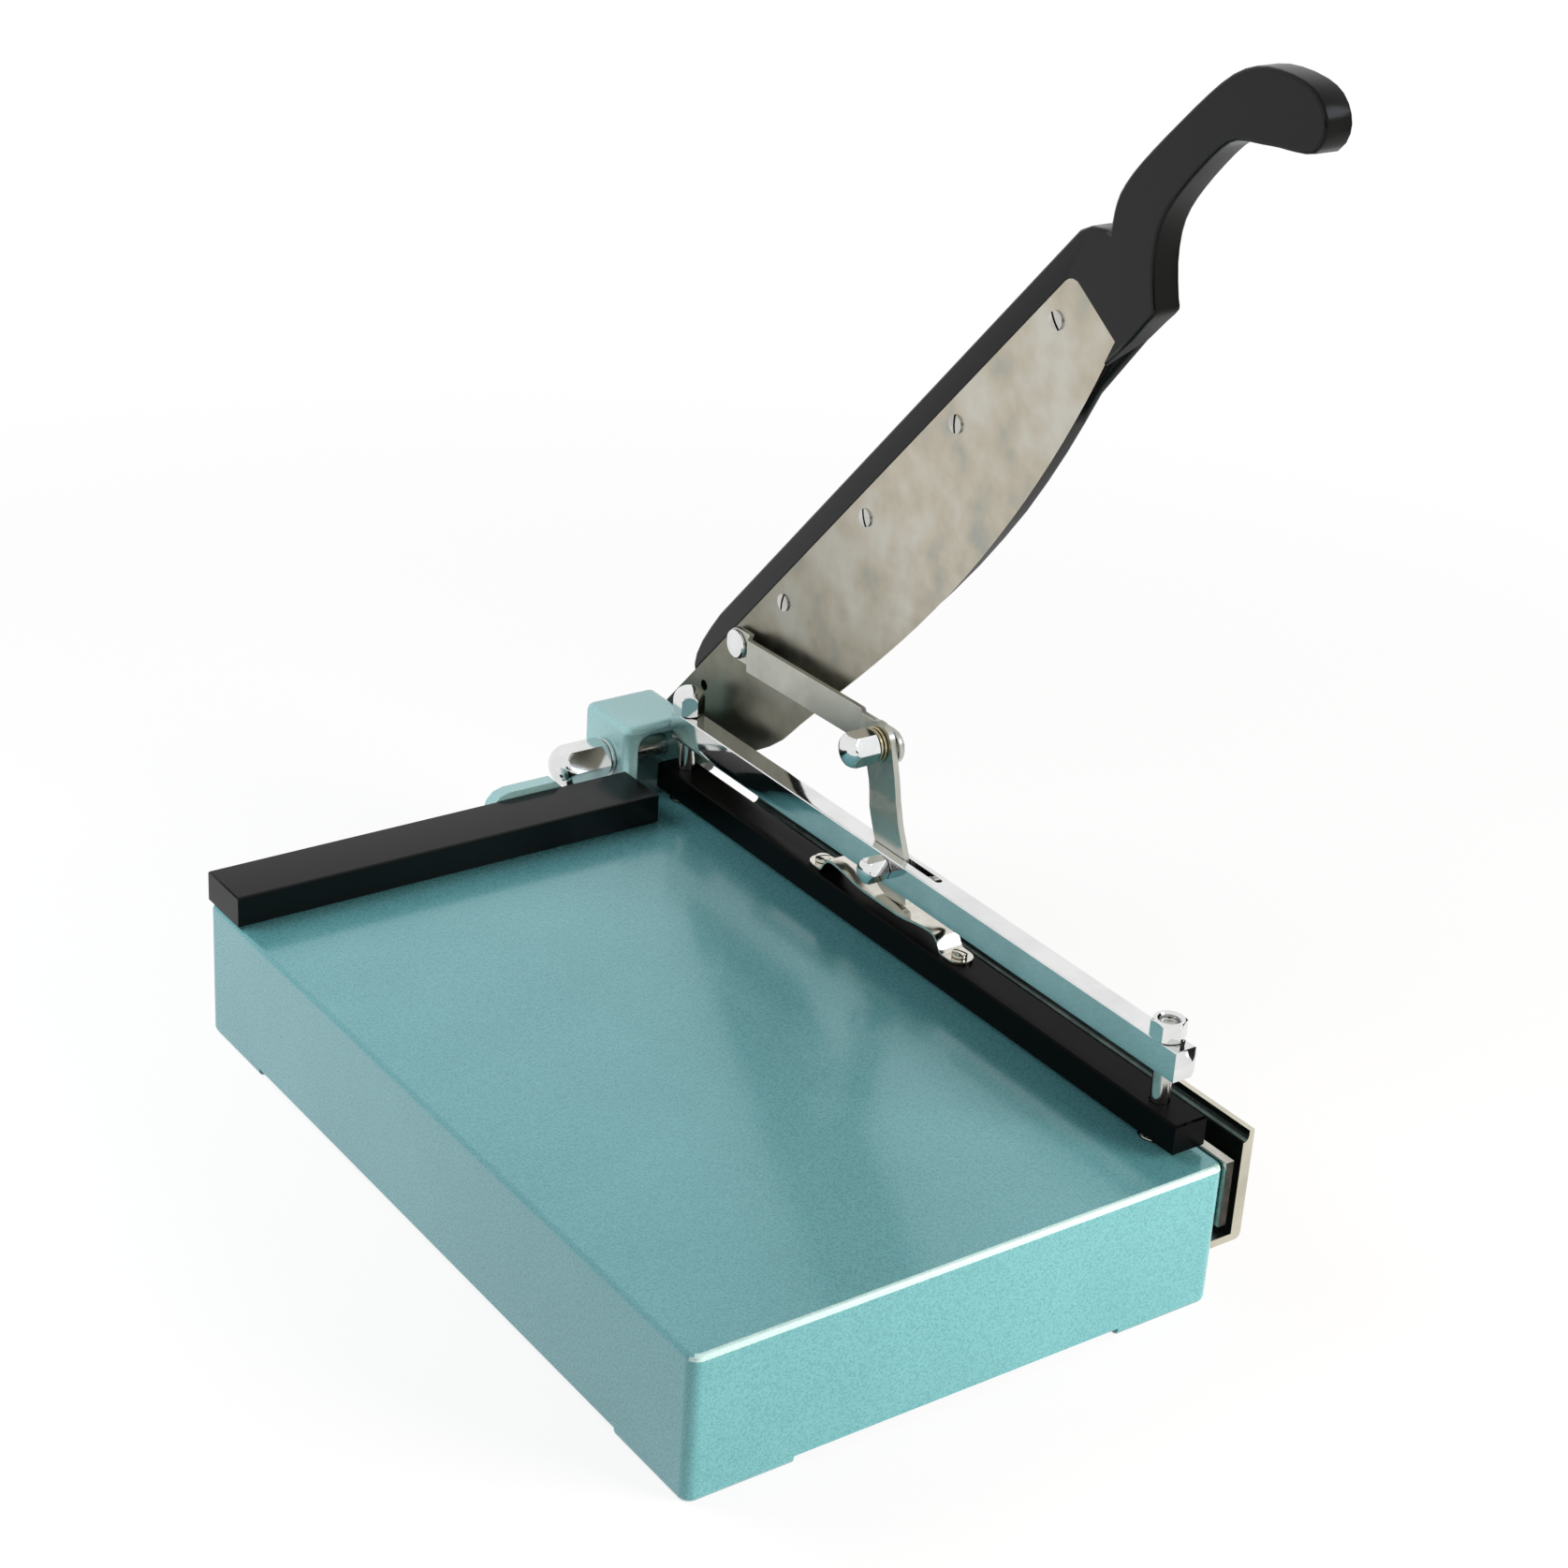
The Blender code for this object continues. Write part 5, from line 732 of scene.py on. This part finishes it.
skins = {
    # The base's front edge rounding takes the painted highlight
    "base_casting": dict(look="enamel", secondLook="enamelEdgeHighlight", picks=baseEdge),
    "hinge_bracket": dict(look="bracketEnamel"),
    "back_fence": dict(look="fenceLacquer"),
    "clamp_bar": dict(look="lacquer"),
    "lever_arm": dict(look="leverLacquer", secondLook="rimLacquer", picks=leverEdges, move=leverRim),
    "blade": dict(look="bladeSteel", sharpAngle=20),
    "bed_knife": dict(look="groundSteel", secondLook="knifeEnd", picks=knifeEnds),
    "lift_link": dict(look="bandSteel"),
    "riser_strap": dict(look="bandSteel"),
    "stop_rail": dict(look="railSteel", secondLook="railShade", picks=railInside),
    "clamp_beam": dict(look="chrome", move=beamDepth),
    "leaf_spring": dict(look="springSteel"),
}
for node, settings in skins.items():
    smoothCopy(node, **settings)
print("skins made")


# Floor, light and camera

def litOrSeen(tree, lit, seen):
    # Camera, glossy and transmission rays meet the seen shader, and all others the lit one
    rays = addNode(tree, "ShaderNodeLightPath", {}).outputs
    either = addNode(tree, "ShaderNodeMath", {
        0: rays["Is Camera Ray"], 1: rays["Is Glossy Ray"],
    }, operation="MAXIMUM").outputs["Value"]
    direct = addNode(tree, "ShaderNodeMath", {
        0: either, 1: rays["Is Transmission Ray"],
    }, operation="MAXIMUM").outputs["Value"]
    return addNode(tree, "ShaderNodeMixShader", {0: direct, 1: lit, 2: seen}).outputs["Shader"]


world = bpy.data.worlds.new("studio")
bpy.context.scene.world = world
world.use_nodes = True
tree = world.node_tree
tree.nodes.clear()
fill = addNode(tree, "ShaderNodeBackground", {"Color": hexColour("#f4f8fa"), "Strength": 0.20})
white = addNode(tree, "ShaderNodeBackground", {"Color": hexColour("#ffffff"), "Strength": 1.0})
sky = litOrSeen(tree, fill.outputs["Background"], white.outputs["Background"])
addNode(tree, "ShaderNodeOutputWorld", {"Surface": sky})

# White paper floor. Its shading fades out from the object's shadow to plain white by the distance
floorSizes = dict(half=40.0, shadedTo=0.25, whiteFrom=1.0, shadeLeft=0.85)
half = floorSizes["half"]
corners = [(-half, -half, 0), (half, -half, 0), (half, half, 0), (-half, half, 0)]
floorData = bpy.data.meshes.new("floor")
floorData.from_pydata(corners, [], [(0, 1, 2, 3)])
floorMaterial, tree, shader = newMaterial("matt_white_floor", {
    "Base Color": hexColour("#ffffff"), "Roughness": 0.9,
})
glow = addNode(tree, "ShaderNodeEmission", {"Color": hexColour("#ffffff"), "Strength": 1.0})
bright = litOrSeen(tree, shader.outputs["BSDF"], glow.outputs["Emission"])
place = addNode(tree, "ShaderNodeTexCoord", {}).outputs["Object"]
distance = addNode(tree, "ShaderNodeVectorMath", {0: place}, operation="LENGTH").outputs["Value"]
share = addNode(tree, "ShaderNodeMapRange", {
    "Value": distance, "From Min": floorSizes["shadedTo"], "From Max": floorSizes["whiteFrom"],
    "To Min": floorSizes["shadeLeft"],
}).outputs["Result"]
paper = addNode(tree, "ShaderNodeMixShader", {0: share, 1: shader.outputs["BSDF"], 2: bright})
setSockets(tree, tree.nodes["Material Output"], {"Surface": paper.outputs["Shader"]})
floorData.materials.append(floorMaterial)
addObject("floor", floorData)

# Black cloth boards out of sight, which give chrome and steel their dark edges
flags = {
    "flag_right": dict(start=(1.0, -0.9), stop=(1.0, 0.4), low=0.06, high=0.9),
    "flag_behind_camera": dict(start=(-1.9, -1.2), stop=(-0.7, -2.1), low=0.25, high=1.0),
}
flagMaterial = newMaterial("black_flag_cloth", {"Base Color": hexColour("#1c1d1e"), "Roughness": 0.95})[0]
for name, sizes in flags.items():
    start, stop, low, high = sizes.values()
    data = bpy.data.meshes.new(name)
    data.from_pydata([(*start, low), (*stop, low), (*stop, high), (*start, high)], [], [(0, 1, 2, 3)])
    data.materials.append(flagMaterial)
    flag = addObject(name, data)
    flag.visible_camera = False

lamps = {  # power is in watts, and gloss says whether glossy surfaces show the lamp
    "softbox_high_left": dict(place=(-0.48, 0.42, 0.62), aim=(-0.02, 0.0, 0.06), size=0.5, power=5.6,
                              colour="#fbfdff", gloss=False),
    "softbox_front_right": dict(place=(0.75, -1.25, 0.40), aim=(0.06, -0.2, 0.03), size=0.7, power=38,
                                colour="#fff3e8", gloss=False),
    "glint_right": dict(place=(0.95, -1.00, 1.08), aim=(0.05, -0.18, 0.25), size=0.5, power=4,
                        colour="#e6f0ff", gloss=True),
}
for name, lamp in lamps.items():
    data = bpy.data.lights.new(name, "AREA")
    data.size = lamp["size"]
    data.energy = lamp["power"]
    data.color = hexColour(lamp["colour"])[:3]
    light = addObject(name, data)
    back = np.array(lamp["place"], dtype=float) - np.array(lamp["aim"], dtype=float)
    back /= np.linalg.norm(back)
    right = np.cross((0, 0, 1), back)
    right /= np.linalg.norm(right)
    pose = np.eye(4)
    pose[:3] = np.stack([right, np.cross(back, right), back, lamp["place"]], axis=-1)
    light.matrix_world = Matrix(pose.tolist())
    light.visible_camera = False
    light.visible_glossy = lamp["gloss"]

cameraSizes = dict(
    place=(-0.653604, -0.939384, 0.718539), right=(0.81628492, -0.57443038, 0.06089879),
    down=(-0.20040725, -0.38049732, -0.90280603), ahead=(0.54177104, 0.72474239, -0.42571424),
    lens=71.668, shift=(-0.01178, -0.01970), near=0.01,
)
cameraData = bpy.data.cameras.new("camera")
cameraData.lens = cameraSizes["lens"]
cameraData.shift_x, cameraData.shift_y = cameraSizes["shift"]
cameraData.clip_start = cameraSizes["near"]
camera = addObject("camera", cameraData)
right, down, ahead = (np.array(cameraSizes[key]) for key in ("right", "down", "ahead"))
pose = np.eye(4)
pose[:3] = np.stack([right, -down, -ahead, cameraSizes["place"]], axis=-1)
camera.matrix_world = Matrix(pose.tolist())
bpy.context.scene.camera = camera
bpy.context.scene.view_settings.view_transform = "Standard"
print("floor, light and camera set")
